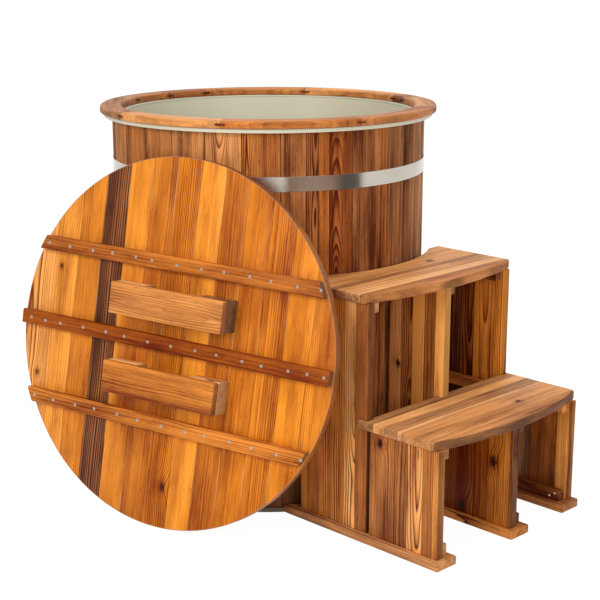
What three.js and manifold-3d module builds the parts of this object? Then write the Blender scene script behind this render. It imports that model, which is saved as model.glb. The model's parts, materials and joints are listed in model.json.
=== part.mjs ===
// Round timber plunge tub with a plastic liner, a plank lid leaning on it and a two-tread set of steps.
// Millimetres, +Z up. The origin is the centre of the tub's base, on the floor.

import * as THREE from 'three';
import { mergeVertices } from 'three/addons/utils/BufferGeometryUtils.js';
import Module from 'manifold-3d';

const wasm = await Module();
wasm.setup();

// Driving dimensions: fits shared by all pieces
const FIT_GAP = 0.3;
const SUNK = 1;
const CURVE_SEGMENTS = 24;
const ROUND_STEPS = 2;

// Driving dimensions: tub
const STAVE_COUNT = 28;
const FACETS_PER_STAVE = 3;
const FIRST_JOINT_ANGLE = -86.2;
const TUB_RADIUS = 450;
const STAVE_THICKNESS = 28;
const STAVE_LENGTH = 1042;
const STAVE_EDGE_CHAMFER = 1.6;
const TONGUE_WIDTH = 9;
const TONGUE_LENGTH = 6;
const TONGUE_TAPER = 1;
const GROOVE_CLEARANCE = 0.4;
const BASE_THICKNESS = 13;
const BASE_OVERHANG = 8;
const BASE_CHAMFER = 2;
const LINER_WALL = 5;
const LINER_CLEARANCE = 4;
const LINER_CORNER = 24;
const FLANGE_THICKNESS = 5;
const FLANGE_OVERHANG = 23;
const FLANGE_LIP_DROP = 12;
const FLANGE_ROUND = 2;
const RING_WIDTH = 61;
const RING_THICKNESS = 20;
const RING_OVERHANG = 11;
const RING_EDGE_RADIUS = 6;
const BAND_WIDTH = 40;
const BAND_THICKNESS = 1.5;
const BAND_EAR_LENGTH = 22;
const BAND_EAR_GAP = 12;
const BAND_CLOSURE_JOINT = 17;
const UPPER_BAND_DROP = 123;
const LOWER_BAND_RISE = 127;

// Driving dimensions: drain
const DRAIN_STAVE = 13;
const DRAIN_HEIGHT = 76;
const DRAIN_BORE = 20;
const DRAIN_TAIL_DIAMETER = 33;
const DRAIN_FLANGE_DIAMETER = 58;
const DRAIN_FLANGE_THICKNESS = 4;
const DRAIN_NUT_DIAMETER = 50;
const DRAIN_NUT_THICKNESS = 11;
const DRAIN_TAIL_LENGTH = 12;
const DRAIN_HOLE_CLEARANCE = 1;
const VALVE_COLLAR_DIAMETER = 44;
const VALVE_COLLAR_LENGTH = 13;
const VALVE_BODY_DIAMETER = 38;
const VALVE_BODY_LENGTH = 30;
const VALVE_STEM_DIAMETER = 18;
const VALVE_STEM_HEIGHT = 31;
const SPOUT_DIAMETER = 26;
const SPOUT_LENGTH = 34;
const SPOUT_BARB = 1.5;
const SPOUT_BARB_COUNT = 3;
const LEVER_LENGTH = 78;
const LEVER_WIDTH = 15;
const LEVER_HUB_DIAMETER = 24;
const LEVER_THICKNESS = 6;
const LEVER_EDGE = 1;
const DRAIN_SEGMENTS = 24;

// Driving dimensions: lid, leaning on the tub
const LID_OVERHANG = 12;
const LID_THICKNESS = 23;
const LID_EDGE_CHAMFER = 2;
const LID_SEGMENTS = 96;
const LID_AZIMUTH = 31.2;
const LID_LEAN = 9.7;
const LID_ROLL = 2.1;
const LID_SIDE_SHIFT = 29;
const LID_BOARD_WIDTH = 75;
const LID_BOARD_SHIFT = 42;
const LID_EDGE_BOARD_LEAST = 38;
const LID_GROOVE = 1.2;
const BATTEN_WIDTH = 40;
const BATTEN_THICKNESS = 22;
const BATTEN_SPACING = 215;
const BATTEN_END_INSET = 4;
const BATTEN_EDGE = 2;
const HANDLE_LENGTH = 356;
const HANDLE_WIDTH = 85;
const HANDLE_BAR_THICKNESS = 24;
const HANDLE_BLOCK_LENGTH = 94;
const HANDLE_BLOCK_THICKNESS = 46;
const HANDLE_EDGE = 3;
const HANDLE_SIDE_SHIFT = 15;
const HANDLE_SPACING = 106;

// Driving dimensions: steps, in front of the tub
const STEPS_AZIMUTH = -46.5;
const STEPS_SIDE_SHIFT = 17;
const STEPS_CLEARANCE = 12;
const FRAME_SPAN = 586;
const PANEL_THICKNESS = 25;
const PANEL_EDGE = 1.5;
const PANEL_GAP = 10;
const TALL_PANEL_REACH = 201;
const TALL_PANEL_CLEARANCE = 34;
const SHORT_PANEL_DEPTH = 230;
const MIDDLE_FRAME_SHIFT = 11;
const MIDDLE_FRAME_OFFSET = 10;
const MIDDLE_PANEL_CLEARANCE = 5;
const FOOT_WIDTH = 76;
const FOOT_HEIGHT = 24;
const FOOT_TOE = 14;
const FOOT_HEEL_LENGTH = 110;
const FOOT_EDGE = 4;
const FOOT_CLEARANCE = 0.6;
const CLEAT_WIDTH = 25;
const CLEAT_HEIGHT = 30;
const CLEAT_EDGE = 3;
const CLEAT_END_SETBACK = 14;
const CLEAT_FRONT_SETBACK = 9;
const TREAD_OVERHANG = 10;
const TREAD_THICKNESS = 24;
const TREAD_BOW = 39;
const TREAD_EDGE = 4;
const TREAD_CORNER = 14;
const UPPER_TREAD_TOP = 666;
const UPPER_TREAD_SETBACK = 3;
const UPPER_TREAD_LUG = 45;
const LOWER_TREAD_TOP = 335;
const LOWER_TREAD_SETBACK = 8;
const LOWER_TREAD_TUCK = 8;
const LOWER_TREAD_EAR = 18;
const NOTCH_CLEARANCE = 0.5;

// Places that follow from the driving dimensions
const radians = THREE.MathUtils.degToRad;
const STAVE_ANGLE = (2 * Math.PI) / STAVE_COUNT;
const RING_SEGMENTS = STAVE_COUNT * FACETS_PER_STAVE;
const STAVE_BOTTOM = BASE_THICKNESS + FIT_GAP;
const STAVE_TOP = STAVE_BOTTOM + STAVE_LENGTH;
const STAVE_INNER = TUB_RADIUS - STAVE_THICKNESS;
const BASE_RADIUS = TUB_RADIUS + BASE_OVERHANG;
const LINER_OUTER = STAVE_INNER - LINER_CLEARANCE;
const LINER_INNER = LINER_OUTER - LINER_WALL;
const LINER_BOTTOM = BASE_THICKNESS + FIT_GAP;
const FLANGE_BOTTOM = STAVE_TOP + FIT_GAP;
const FLANGE_TOP = FLANGE_BOTTOM + FLANGE_THICKNESS;
const FLANGE_RADIUS = TUB_RADIUS + FLANGE_OVERHANG;
const RING_BOTTOM = FLANGE_TOP + FIT_GAP;
const RING_OUTER = FLANGE_RADIUS + RING_OVERHANG;
const RING_TOP = RING_BOTTOM + RING_THICKNESS;
const UPPER_BAND_BOTTOM = STAVE_TOP - UPPER_BAND_DROP - BAND_WIDTH;
const LOWER_BAND_BOTTOM = STAVE_BOTTOM + LOWER_BAND_RISE;
const BAND_INNER = TUB_RADIUS + FIT_GAP;
const BAND_OUTER = BAND_INNER + BAND_THICKNESS;
const LID_RADIUS = RING_OUTER + LID_OVERHANG;
const STEPS_ARC_RADIUS = TUB_RADIUS + STEPS_CLEARANCE;
const TALL_PANEL_FRONT = TUB_RADIUS + TALL_PANEL_REACH;
const SHORT_PANEL_REAR = TALL_PANEL_FRONT + PANEL_GAP;
const SHORT_PANEL_FRONT = SHORT_PANEL_REAR + SHORT_PANEL_DEPTH;
const TREAD_HALF = FRAME_SPAN / 2 + TREAD_OVERHANG;
const UPPER_TREAD_UNDERSIDE = UPPER_TREAD_TOP - TREAD_THICKNESS;
const UPPER_TREAD_FRONT = TALL_PANEL_FRONT - UPPER_TREAD_SETBACK;
const LOWER_TREAD_UNDERSIDE = LOWER_TREAD_TOP - TREAD_THICKNESS;
const LOWER_TREAD_FRONT = SHORT_PANEL_FRONT - LOWER_TREAD_SETBACK;
const LOWER_TREAD_REAR = TALL_PANEL_FRONT - LOWER_TREAD_TUCK;

// Colours and finishes
function finish(color, roughness, metalness = 0) {
  return new THREE.MeshStandardMaterial({ color, roughness, metalness });
}

const STAVE_WOODS = [0x8a5528, 0x9c6230, 0x7a4822, 0xa46a34].map((color) => finish(color, 0.55));
const RIM_WOOD = finish(0xb8763c, 0.5);
const LID_WOOD = finish(0xcf7d2e, 0.45);
const BATTEN_WOOD = finish(0xa9521f, 0.5);
const HANDLE_WOOD = finish(0xb97540, 0.55);
const TREAD_WOOD = finish(0xb07a46, 0.55);
const FRAME_WOOD = finish(0xa5652f, 0.55);
const LINER_PLASTIC = finish(0xd8d3bd, 0.35);
const BASE_PLASTIC = finish(0xcfcab6, 0.5);
const BAND_STEEL = finish(0xb9b6ae, 0.35, 1);
const VALVE_BRASS = finish(0xb9a77a, 0.35, 1);
const LEVER_STEEL = finish(0xb0b0b0, 0.4, 1);

// Solids for joining and cutting
function toSolid(geometry) {
  const plain = geometry.clone();
  plain.deleteAttribute('normal');
  plain.deleteAttribute('uv');
  const merged = mergeVertices(plain, 1e-4);
  const mesh = new wasm.Mesh({
    numProp: 3,
    vertProperties: new Float32Array(merged.attributes.position.array),
    triVerts: new Uint32Array(merged.index.array),
  });
  return new wasm.Manifold(mesh);
}

function toGeometry(solid) {
  const mesh = solid.getMesh();
  const geometry = new THREE.BufferGeometry();
  geometry.setAttribute('position', new THREE.BufferAttribute(new Float32Array(mesh.vertProperties), 3));
  geometry.setIndex(new THREE.BufferAttribute(new Uint32Array(mesh.triVerts), 1));
  geometry.computeVertexNormals();
  return geometry;
}

const cut = (geometry, tool) => toGeometry(toSolid(geometry).subtract(toSolid(tool)));
const join = (geometry, other) => toGeometry(toSolid(geometry).add(toSolid(other)));
const keepInside = (geometry, tool) => toGeometry(toSolid(geometry).intersect(toSolid(tool)));

// A shape pulled up by its thickness, with eased edges, its underside at height 0
function plate(shape, thickness, edge, edgeSteps = 1) {
  const geometry = new THREE.ExtrudeGeometry(shape, {
    depth: thickness - 2 * edge,
    bevelEnabled: edge > 0,
    bevelThickness: edge,
    bevelSize: edge,
    bevelOffset: -edge,
    bevelSegments: edgeSteps,
    curveSegments: CURVE_SEGMENTS,
  });
  return geometry.translate(0, 0, edge);
}

function shapeOf(corners) {
  return new THREE.Shape(corners.map(([x, y]) => new THREE.Vector2(x, y)));
}

function rectangle(x0, y0, x1, y1) {
  return shapeOf([[x0, y0], [x1, y0], [x1, y1], [x0, y1]]);
}

// A board with eased edges between two corners, its thickness upright
function board(low, high, edge) {
  const geometry = plate(rectangle(low[0], low[1], high[0], high[1]), high[2] - low[2], edge);
  return geometry.translate(0, 0, low[2]);
}

// A board standing on edge: its face lies in the plane of x and z, its thickness along y
function standingBoard(low, high, edge) {
  const geometry = plate(rectangle(low[0], low[2], high[0], high[2]), high[1] - low[1], edge);
  return geometry.rotateX(Math.PI / 2).translate(0, high[1], 0);
}

// A profile of [radius, height] points turned about Z, its first seam at the given angle
function turned(profile, segments, angle = 0) {
  const points = profile.map(([radius, height]) => new THREE.Vector2(radius, height));
  return new THREE.LatheGeometry(points, segments, angle + Math.PI / 2).rotateX(Math.PI / 2);
}

function disc(radius, bottom, top, segments, angle = 0) {
  return turned([[0, bottom], [radius, bottom], [radius, top], [0, top]], segments, angle);
}

function addPiece(parent, name, geometry, material) {
  const mesh = new THREE.Mesh(geometry, material);
  mesh.name = name;
  parent.add(mesh);
  return mesh;
}

const plungeTub = new THREE.Group();
const jointAngle = (joint) => radians(FIRST_JOINT_ANGLE) + joint * STAVE_ANGLE;

// Base plate and liner
function buildShell(parent) {
  const base = turned([
    [0, 0],
    [BASE_RADIUS, 0],
    [BASE_RADIUS, BASE_THICKNESS - BASE_CHAMFER],
    [BASE_RADIUS - BASE_CHAMFER, BASE_THICKNESS],
    [0, BASE_THICKNESS],
  ], RING_SEGMENTS, jointAngle(0));
  addPiece(parent, 'base_plate', base, BASE_PLASTIC);

  const floorTop = LINER_BOTTOM + LINER_WALL;
  const lipBottom = FLANGE_TOP - FLANGE_LIP_DROP;
  const shell = turned([
    [0, LINER_BOTTOM],
    [LINER_OUTER - LINER_CORNER, LINER_BOTTOM],
    [LINER_OUTER, LINER_BOTTOM + LINER_CORNER],
    [LINER_OUTER, FLANGE_BOTTOM],
    [FLANGE_RADIUS - LINER_WALL, FLANGE_BOTTOM],
    [FLANGE_RADIUS - LINER_WALL, lipBottom],
    [FLANGE_RADIUS, lipBottom],
    [FLANGE_RADIUS, FLANGE_TOP - FLANGE_ROUND],
    [FLANGE_RADIUS - FLANGE_ROUND, FLANGE_TOP],
    [LINER_INNER + FLANGE_ROUND, FLANGE_TOP],
    [LINER_INNER, FLANGE_TOP - FLANGE_ROUND],
    [LINER_INNER, floorTop + LINER_CORNER],
    [LINER_INNER - LINER_CORNER, floorTop],
    [0, floorTop],
  ], RING_SEGMENTS, jointAngle(0));
  addPiece(parent, 'liner', cut(shell, drainHole()), LINER_PLASTIC);
}

// Staves: bevelled to the circle, with a tongue on one edge and a groove on the other
function staveShape() {
  const half = STAVE_ANGLE / 2;
  const middle = (TUB_RADIUS + STAVE_INNER) / 2;
  const edgePoint = (side, radius, out) => {
    const reach = out - FIT_GAP / 2;
    const x = radius * Math.cos(half) - reach * Math.sin(half);
    const y = side * (radius * Math.sin(half) + reach * Math.cos(half));
    return [x, y];
  };
  const points = [edgePoint(-1, TUB_RADIUS - STAVE_EDGE_CHAMFER, 0)];
  const faceHalf = half - STAVE_EDGE_CHAMFER / TUB_RADIUS;
  for (let i = 0; i <= FACETS_PER_STAVE; i += 1) {
    const angle = faceHalf * ((2 * i) / FACETS_PER_STAVE - 1);
    points.push([TUB_RADIUS * Math.cos(angle), TUB_RADIUS * Math.sin(angle)]);
  }
  const tongueHalf = TONGUE_WIDTH / 2;
  const grooveHalf = tongueHalf + GROOVE_CLEARANCE;
  const grooveDepth = TONGUE_LENGTH + GROOVE_CLEARANCE;
  const innerCorner = STAVE_INNER / Math.cos(half);
  points.push(
    edgePoint(1, TUB_RADIUS - STAVE_EDGE_CHAMFER, 0),
    edgePoint(1, middle + tongueHalf, 0),
    edgePoint(1, middle + tongueHalf - TONGUE_TAPER, TONGUE_LENGTH),
    edgePoint(1, middle - tongueHalf + TONGUE_TAPER, TONGUE_LENGTH),
    edgePoint(1, middle - tongueHalf, 0),
    edgePoint(1, innerCorner, 0),
    edgePoint(-1, innerCorner, 0),
    edgePoint(-1, middle - grooveHalf, 0),
    edgePoint(-1, middle - grooveHalf + TONGUE_TAPER, -grooveDepth),
    edgePoint(-1, middle + grooveHalf - TONGUE_TAPER, -grooveDepth),
    edgePoint(-1, middle + grooveHalf, 0),
  );
  return shapeOf(points);
}

function buildStaves(parent) {
  const plain = plate(staveShape(), STAVE_LENGTH, 0).translate(0, 0, STAVE_BOTTOM);
  for (let i = 0; i < STAVE_COUNT; i += 1) {
    const angle = jointAngle(i + 0.5);
    const geometry = i === DRAIN_STAVE ? cut(plain, drainHole().rotateZ(-angle)) : plain;
    const name = `stave_${String(i + 1).padStart(2, '0')}`;
    const stave = addPiece(parent, name, geometry, STAVE_WOODS[i % STAVE_WOODS.length]);
    stave.rotation.z = angle;
  }
}

// Steel bands: a strap round the staves whose ends turn out into two ears for the tightening bolt
function bandShape() {
  const earFace = BAND_EAR_GAP / 2;
  const earBack = earFace + BAND_THICKNESS;
  const earTip = BAND_OUTER + BAND_EAR_LENGTH;
  const step = (2 * Math.PI) / RING_SEGMENTS;
  const onArc = (radius, y) => [Math.sqrt(radius * radius - y * y), y];
  const atStep = (radius, i) => [radius * Math.cos(i * step), radius * Math.sin(i * step)];
  const outerArc = [];
  const innerArc = [];
  for (let i = 1; i < RING_SEGMENTS; i += 1) {
    outerArc.push(atStep(BAND_OUTER, i));
    innerArc.push(atStep(BAND_INNER, RING_SEGMENTS - i));
  }
  const firstEar = [[earTip, earFace], [earTip, earBack], onArc(BAND_OUTER, earBack)];
  const lastEar = [onArc(BAND_OUTER, -earBack), [earTip, -earBack], [earTip, -earFace]];
  const innerEnds = [onArc(BAND_INNER, -earFace), ...innerArc, onArc(BAND_INNER, earFace)];
  return shapeOf([...firstEar, ...outerArc, ...lastEar, ...innerEnds]);
}

function buildBands(parent) {
  const strap = plate(bandShape(), BAND_WIDTH, 0);
  for (const [name, height] of [['upper_band', UPPER_BAND_BOTTOM], ['lower_band', LOWER_BAND_BOTTOM]]) {
    const band = addPiece(parent, name, strap, BAND_STEEL);
    band.position.z = height;
    band.rotation.z = jointAngle(BAND_CLOSURE_JOINT);
  }
}

// Rim ring: a rounded section turned about the tub's axis
function buildRim(parent) {
  const outer = RING_OUTER - RING_EDGE_RADIUS;
  const inner = RING_OUTER - RING_WIDTH + RING_EDGE_RADIUS;
  const bottom = RING_BOTTOM + RING_EDGE_RADIUS;
  const top = RING_TOP - RING_EDGE_RADIUS;
  const quarter = Math.PI / 2;
  const profile = [];
  [[outer, bottom], [outer, top], [inner, top], [inner, bottom]].forEach(([x, y], corner) => {
    for (let i = 0; i <= ROUND_STEPS; i += 1) {
      const angle = quarter * (corner - 1 + i / ROUND_STEPS);
      profile.push([x + RING_EDGE_RADIUS * Math.cos(angle), y + RING_EDGE_RADIUS * Math.sin(angle)]);
    }
  });
  profile.push(profile[0]);
  addPiece(parent, 'rim_ring', turned(profile, RING_SEGMENTS, jointAngle(0)), RIM_WOOD);
}

// Drain: a bulkhead fitting through liner and stave, a ball valve on its tail and the valve's lever
function alongDrain(geometry) {
  return geometry.rotateY(Math.PI / 2);
}

function drainHole() {
  const radius = DRAIN_TAIL_DIAMETER / 2 + DRAIN_HOLE_CLEARANCE;
  const hole = alongDrain(disc(radius, LINER_INNER - LINER_WALL, TUB_RADIUS + LINER_WALL, DRAIN_SEGMENTS));
  return hole.translate(0, 0, DRAIN_HEIGHT).rotateZ(jointAngle(DRAIN_STAVE + 0.5));
}

function buildDrain(parent) {
  const drain = new THREE.Group();
  drain.rotation.z = jointAngle(DRAIN_STAVE + 0.5);
  drain.position.z = DRAIN_HEIGHT;
  parent.add(drain);

  const flangeRadius = DRAIN_FLANGE_DIAMETER / 2;
  const wallFlat = Math.sqrt(LINER_INNER ** 2 - flangeRadius ** 2) * Math.cos(Math.PI / RING_SEGMENTS);
  const flangeFace = wallFlat - FIT_GAP;
  const bore = DRAIN_BORE / 2;
  const tail = DRAIN_TAIL_DIAMETER / 2;
  const nutFace = TUB_RADIUS + FIT_GAP;
  const nutEnd = nutFace + DRAIN_NUT_THICKNESS;
  const tailEnd = nutEnd + DRAIN_TAIL_LENGTH;
  const fitting = turned([
    [bore, flangeFace - DRAIN_FLANGE_THICKNESS],
    [flangeRadius, flangeFace - DRAIN_FLANGE_THICKNESS],
    [flangeRadius, flangeFace],
    [tail, flangeFace],
    [tail, nutFace],
    [DRAIN_NUT_DIAMETER / 2, nutFace],
    [DRAIN_NUT_DIAMETER / 2, nutEnd],
    [tail, nutEnd],
    [tail, tailEnd],
    [bore, tailEnd],
    [bore, flangeFace - DRAIN_FLANGE_THICKNESS],
  ], DRAIN_SEGMENTS);
  addPiece(drain, 'drain_fitting', alongDrain(fitting), VALVE_BRASS);

  const collarStart = tailEnd + FIT_GAP;
  const bodyStart = collarStart + VALVE_COLLAR_LENGTH;
  const bodyEnd = bodyStart + VALVE_BODY_LENGTH;
  const spoutStart = bodyEnd + VALVE_COLLAR_LENGTH;
  const spoutEnd = spoutStart + SPOUT_LENGTH;
  const spout = SPOUT_DIAMETER / 2;
  const profile = [
    [0, collarStart],
    [VALVE_COLLAR_DIAMETER / 2, collarStart],
    [VALVE_COLLAR_DIAMETER / 2, bodyStart],
    [VALVE_BODY_DIAMETER / 2, bodyStart],
    [VALVE_BODY_DIAMETER / 2, bodyEnd],
    [VALVE_COLLAR_DIAMETER / 2, bodyEnd],
    [VALVE_COLLAR_DIAMETER / 2, spoutStart],
    [spout, spoutStart],
  ];
  const barbLength = SPOUT_LENGTH / (SPOUT_BARB_COUNT + 1);
  for (let i = 1; i <= SPOUT_BARB_COUNT; i += 1) {
    profile.push([spout, spoutStart + i * barbLength], [spout - SPOUT_BARB, spoutStart + i * barbLength]);
  }
  profile.push([spout - SPOUT_BARB, spoutEnd], [bore, spoutEnd], [bore, spoutStart], [0, spoutStart]);
  const stemPlace = (bodyStart + bodyEnd) / 2;
  const stem = disc(VALVE_STEM_DIAMETER / 2, 0, VALVE_STEM_HEIGHT, DRAIN_SEGMENTS);
  stem.translate(stemPlace, 0, 0);
  addPiece(drain, 'drain_valve', join(alongDrain(turned(profile, DRAIN_SEGMENTS)), stem), VALVE_BRASS);

  const hub = LEVER_HUB_DIAMETER / 2;
  const arm = LEVER_WIDTH / 2;
  const neck = Math.asin(arm / hub);
  const outline = new THREE.Shape();
  outline.absarc(0, 0, hub, Math.PI / 2 + neck, Math.PI / 2 - neck + 2 * Math.PI, false);
  outline.absarc(0, LEVER_LENGTH - arm, arm, 0, Math.PI, false);
  outline.closePath();
  const lever = addPiece(drain, 'drain_lever', plate(outline, LEVER_THICKNESS, LEVER_EDGE), LEVER_STEEL);
  lever.position.set(stemPlace, 0, VALVE_STEM_HEIGHT + FIT_GAP);
}

// Lid: edge-jointed boards cut to a disc, three battens and two raised handles, in the lid's own plane
function lidPanel() {
  const front = [];
  const jointReach = LID_RADIUS - LID_EDGE_BOARD_LEAST;
  const first = Math.ceil((-jointReach - LID_BOARD_SHIFT) / LID_BOARD_WIDTH);
  const last = Math.floor((jointReach - LID_BOARD_SHIFT) / LID_BOARD_WIDTH);
  for (let i = last; i >= first; i -= 1) {
    const x = LID_BOARD_SHIFT + i * LID_BOARD_WIDTH;
    front.push([x + LID_GROOVE / 2, 0], [x, -LID_GROOVE], [x - LID_GROOVE / 2, 0]);
  }
  const reach = LID_RADIUS + LID_BOARD_WIDTH;
  const back = -LID_THICKNESS - SUNK;
  const outline = [[-reach, back], [reach, back], [reach, 0], ...front, [-reach, 0]];
  const boards = plate(shapeOf(outline), 2 * reach, 0).rotateX(Math.PI / 2).translate(0, reach, 0);
  const round = turned([
    [0, -LID_THICKNESS],
    [LID_RADIUS - LID_EDGE_CHAMFER, -LID_THICKNESS],
    [LID_RADIUS, -LID_THICKNESS + LID_EDGE_CHAMFER],
    [LID_RADIUS, -LID_EDGE_CHAMFER],
    [LID_RADIUS - LID_EDGE_CHAMFER, 0],
    [0, 0],
  ], LID_SEGMENTS);
  return keepInside(boards, round);
}

function lidBatten(y) {
  const bottom = FIT_GAP;
  const top = bottom + BATTEN_THICKNESS;
  const low = [-LID_RADIUS, y - BATTEN_WIDTH / 2, bottom];
  const high = [LID_RADIUS, y + BATTEN_WIDTH / 2, top];
  const round = disc(LID_RADIUS - BATTEN_END_INSET, bottom - SUNK, top + SUNK, LID_SEGMENTS);
  return keepInside(board(low, high, BATTEN_EDGE), round);
}

function lidHandle(y) {
  const left = HANDLE_SIDE_SHIFT - HANDLE_LENGTH / 2;
  const right = HANDLE_SIDE_SHIFT + HANDLE_LENGTH / 2;
  const height = HANDLE_BLOCK_THICKNESS + HANDLE_BAR_THICKNESS;
  const outline = [
    [left, 0],
    [left + HANDLE_BLOCK_LENGTH, 0],
    [left + HANDLE_BLOCK_LENGTH, HANDLE_BLOCK_THICKNESS],
    [right - HANDLE_BLOCK_LENGTH, HANDLE_BLOCK_THICKNESS],
    [right - HANDLE_BLOCK_LENGTH, 0],
    [right, 0],
    [right, height],
    [left, height],
  ];
  const geometry = plate(shapeOf(outline), HANDLE_WIDTH, HANDLE_EDGE).rotateX(Math.PI / 2);
  return geometry.translate(0, y + HANDLE_WIDTH / 2, FIT_GAP);
}

// Where the lid's front stands when its foot is on the floor and its back lies on what it meets first
function lidPlace(lean) {
  const touchRadius = LID_RADIUS - LID_EDGE_CHAMFER;
  const touchDepth = LID_THICKNESS - LID_EDGE_CHAMFER;
  const rise = FIT_GAP + LID_RADIUS * Math.cos(lean) + touchDepth * Math.sin(lean);
  const alongLid = (height) => (height - rise + LID_THICKNESS * Math.sin(lean)) / Math.cos(lean);
  const rests = [
    [TUB_RADIUS, STAVE_BOTTOM, STAVE_TOP],
    [BAND_OUTER, UPPER_BAND_BOTTOM, UPPER_BAND_BOTTOM + BAND_WIDTH],
    [FLANGE_RADIUS, FLANGE_TOP - FLANGE_LIP_DROP, FLANGE_TOP],
    [RING_OUTER, RING_BOTTOM, RING_TOP],
  ];
  const met = rests.filter(([, low]) => alongLid(low) < LID_RADIUS);
  const offsets = met.map(([radius, , high]) => {
    const reach = Math.min(touchRadius, alongLid(high));
    return radius + FIT_GAP + reach * Math.sin(lean) + LID_THICKNESS * Math.cos(lean);
  });
  return { away: Math.max(...offsets), rise };
}

function buildLid(parent) {
  const lean = radians(LID_LEAN);
  const { away, rise } = lidPlace(lean);
  const turnedToTub = new THREE.Group();
  turnedToTub.rotation.z = -radians(LID_AZIMUTH);
  parent.add(turnedToTub);
  const leaning = new THREE.Group();
  leaning.position.set(LID_SIDE_SHIFT, -away, rise);
  leaning.rotation.x = Math.PI / 2 - lean;
  turnedToTub.add(leaning);
  const lid = new THREE.Group();
  lid.rotation.z = -radians(LID_ROLL);
  leaning.add(lid);

  addPiece(lid, 'lid_panel', lidPanel(), LID_WOOD);
  addPiece(lid, 'lid_batten_top', lidBatten(BATTEN_SPACING), BATTEN_WOOD);
  addPiece(lid, 'lid_batten_middle', lidBatten(0), BATTEN_WOOD);
  addPiece(lid, 'lid_batten_bottom', lidBatten(-BATTEN_SPACING), BATTEN_WOOD);
  addPiece(lid, 'lid_handle_upper', lidHandle(HANDLE_SPACING), HANDLE_WOOD);
  addPiece(lid, 'lid_handle_lower', lidHandle(-HANDLE_SPACING), HANDLE_WOOD);
}

// Steps: x runs outward from the tub, y across the frames
const frameOuter = FRAME_SPAN / 2;
const frameInner = frameOuter - PANEL_THICKNESS;
const outerRear = Math.sqrt(STEPS_ARC_RADIUS ** 2 - frameInner ** 2) + TALL_PANEL_CLEARANCE;
const frames = [
  { name: 'left', y: -frameOuter, cleatSide: 1, shift: 0, rear: outerRear },
  {
    name: 'middle',
    y: MIDDLE_FRAME_OFFSET - PANEL_THICKNESS / 2,
    cleatSide: 1,
    shift: MIDDLE_FRAME_SHIFT,
    rear: STEPS_ARC_RADIUS + MIDDLE_PANEL_CLEARANCE,
  },
  { name: 'right', y: frameInner, cleatSide: -1, shift: 0, rear: outerRear },
];

// The bowed front edge of a tread, from its left corner to its right one
function bowFront(shape, front) {
  const half = TREAD_HALF - TREAD_CORNER;
  const radius = (half * half + TREAD_BOW * TREAD_BOW) / (2 * TREAD_BOW);
  const sweep = Math.asin(half / radius);
  shape.lineTo(front - TREAD_CORNER, -TREAD_HALF);
  shape.quadraticCurveTo(front, -TREAD_HALF, front, -half);
  shape.absarc(front + TREAD_BOW - radius, 0, radius, -sweep, sweep, false);
  shape.quadraticCurveTo(front, TREAD_HALF, front - TREAD_CORNER, TREAD_HALF);
}

function upperTread() {
  const shape = new THREE.Shape();
  const sweep = Math.asin((TREAD_HALF - UPPER_TREAD_LUG) / STEPS_ARC_RADIUS);
  const rear = STEPS_ARC_RADIUS * Math.cos(sweep);
  shape.moveTo(rear, -TREAD_HALF);
  bowFront(shape, UPPER_TREAD_FRONT);
  shape.lineTo(rear, TREAD_HALF);
  shape.absarc(0, 0, STEPS_ARC_RADIUS, sweep, -sweep, true);
  shape.closePath();
  return plate(shape, TREAD_THICKNESS, TREAD_EDGE, ROUND_STEPS).translate(0, 0, UPPER_TREAD_UNDERSIDE);
}

function lowerTread() {
  const earEnd = LOWER_TREAD_REAR - LOWER_TREAD_EAR;
  const shape = new THREE.Shape();
  shape.moveTo(earEnd, -TREAD_HALF);
  bowFront(shape, LOWER_TREAD_FRONT);
  shape.lineTo(earEnd, TREAD_HALF);
  const notches = [...frames].reverse();
  notches.forEach(({ y, shift }, i) => {
    const near = y + PANEL_THICKNESS + NOTCH_CLEARANCE;
    const far = y - NOTCH_CLEARANCE;
    const bottom = TALL_PANEL_FRONT + shift + NOTCH_CLEARANCE;
    shape.lineTo(i === 0 ? earEnd : LOWER_TREAD_REAR, near);
    shape.lineTo(bottom, near);
    shape.lineTo(bottom, far);
    shape.lineTo(i === notches.length - 1 ? earEnd : LOWER_TREAD_REAR, far);
  });
  shape.closePath();
  return plate(shape, TREAD_THICKNESS, TREAD_EDGE, ROUND_STEPS).translate(0, 0, LOWER_TREAD_UNDERSIDE);
}

// A foot rail with the cleat that ties both panels to it, its rear end hollowed to the tub's base
function footRail({ y, cleatSide, shift, rear }) {
  const cleatY = cleatSide > 0 ? y + PANEL_THICKNESS + FIT_GAP : y - FIT_GAP - CLEAT_WIDTH;
  const pairMiddle = (Math.min(y, cleatY) + Math.max(y + PANEL_THICKNESS, cleatY + CLEAT_WIDTH)) / 2;
  const low = [TUB_RADIUS - FOOT_HEEL_LENGTH, pairMiddle - FOOT_WIDTH / 2, 0];
  const high = [SHORT_PANEL_FRONT + shift + FOOT_TOE, pairMiddle + FOOT_WIDTH / 2, FOOT_HEIGHT];
  const cleatLow = [rear + CLEAT_END_SETBACK, cleatY, FOOT_HEIGHT - CLEAT_EDGE - SUNK];
  const cleatFront = SHORT_PANEL_FRONT + shift - CLEAT_FRONT_SETBACK;
  const cleatHigh = [cleatFront, cleatY + CLEAT_WIDTH, FOOT_HEIGHT + CLEAT_HEIGHT];
  const rail = join(board(low, high, FOOT_EDGE), board(cleatLow, cleatHigh, CLEAT_EDGE));
  const hollow = disc(BASE_RADIUS + FOOT_CLEARANCE, -SUNK, UPPER_TREAD_TOP, RING_SEGMENTS);
  return cut(rail, hollow.translate(0, -STEPS_SIDE_SHIFT, 0));
}

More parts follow.
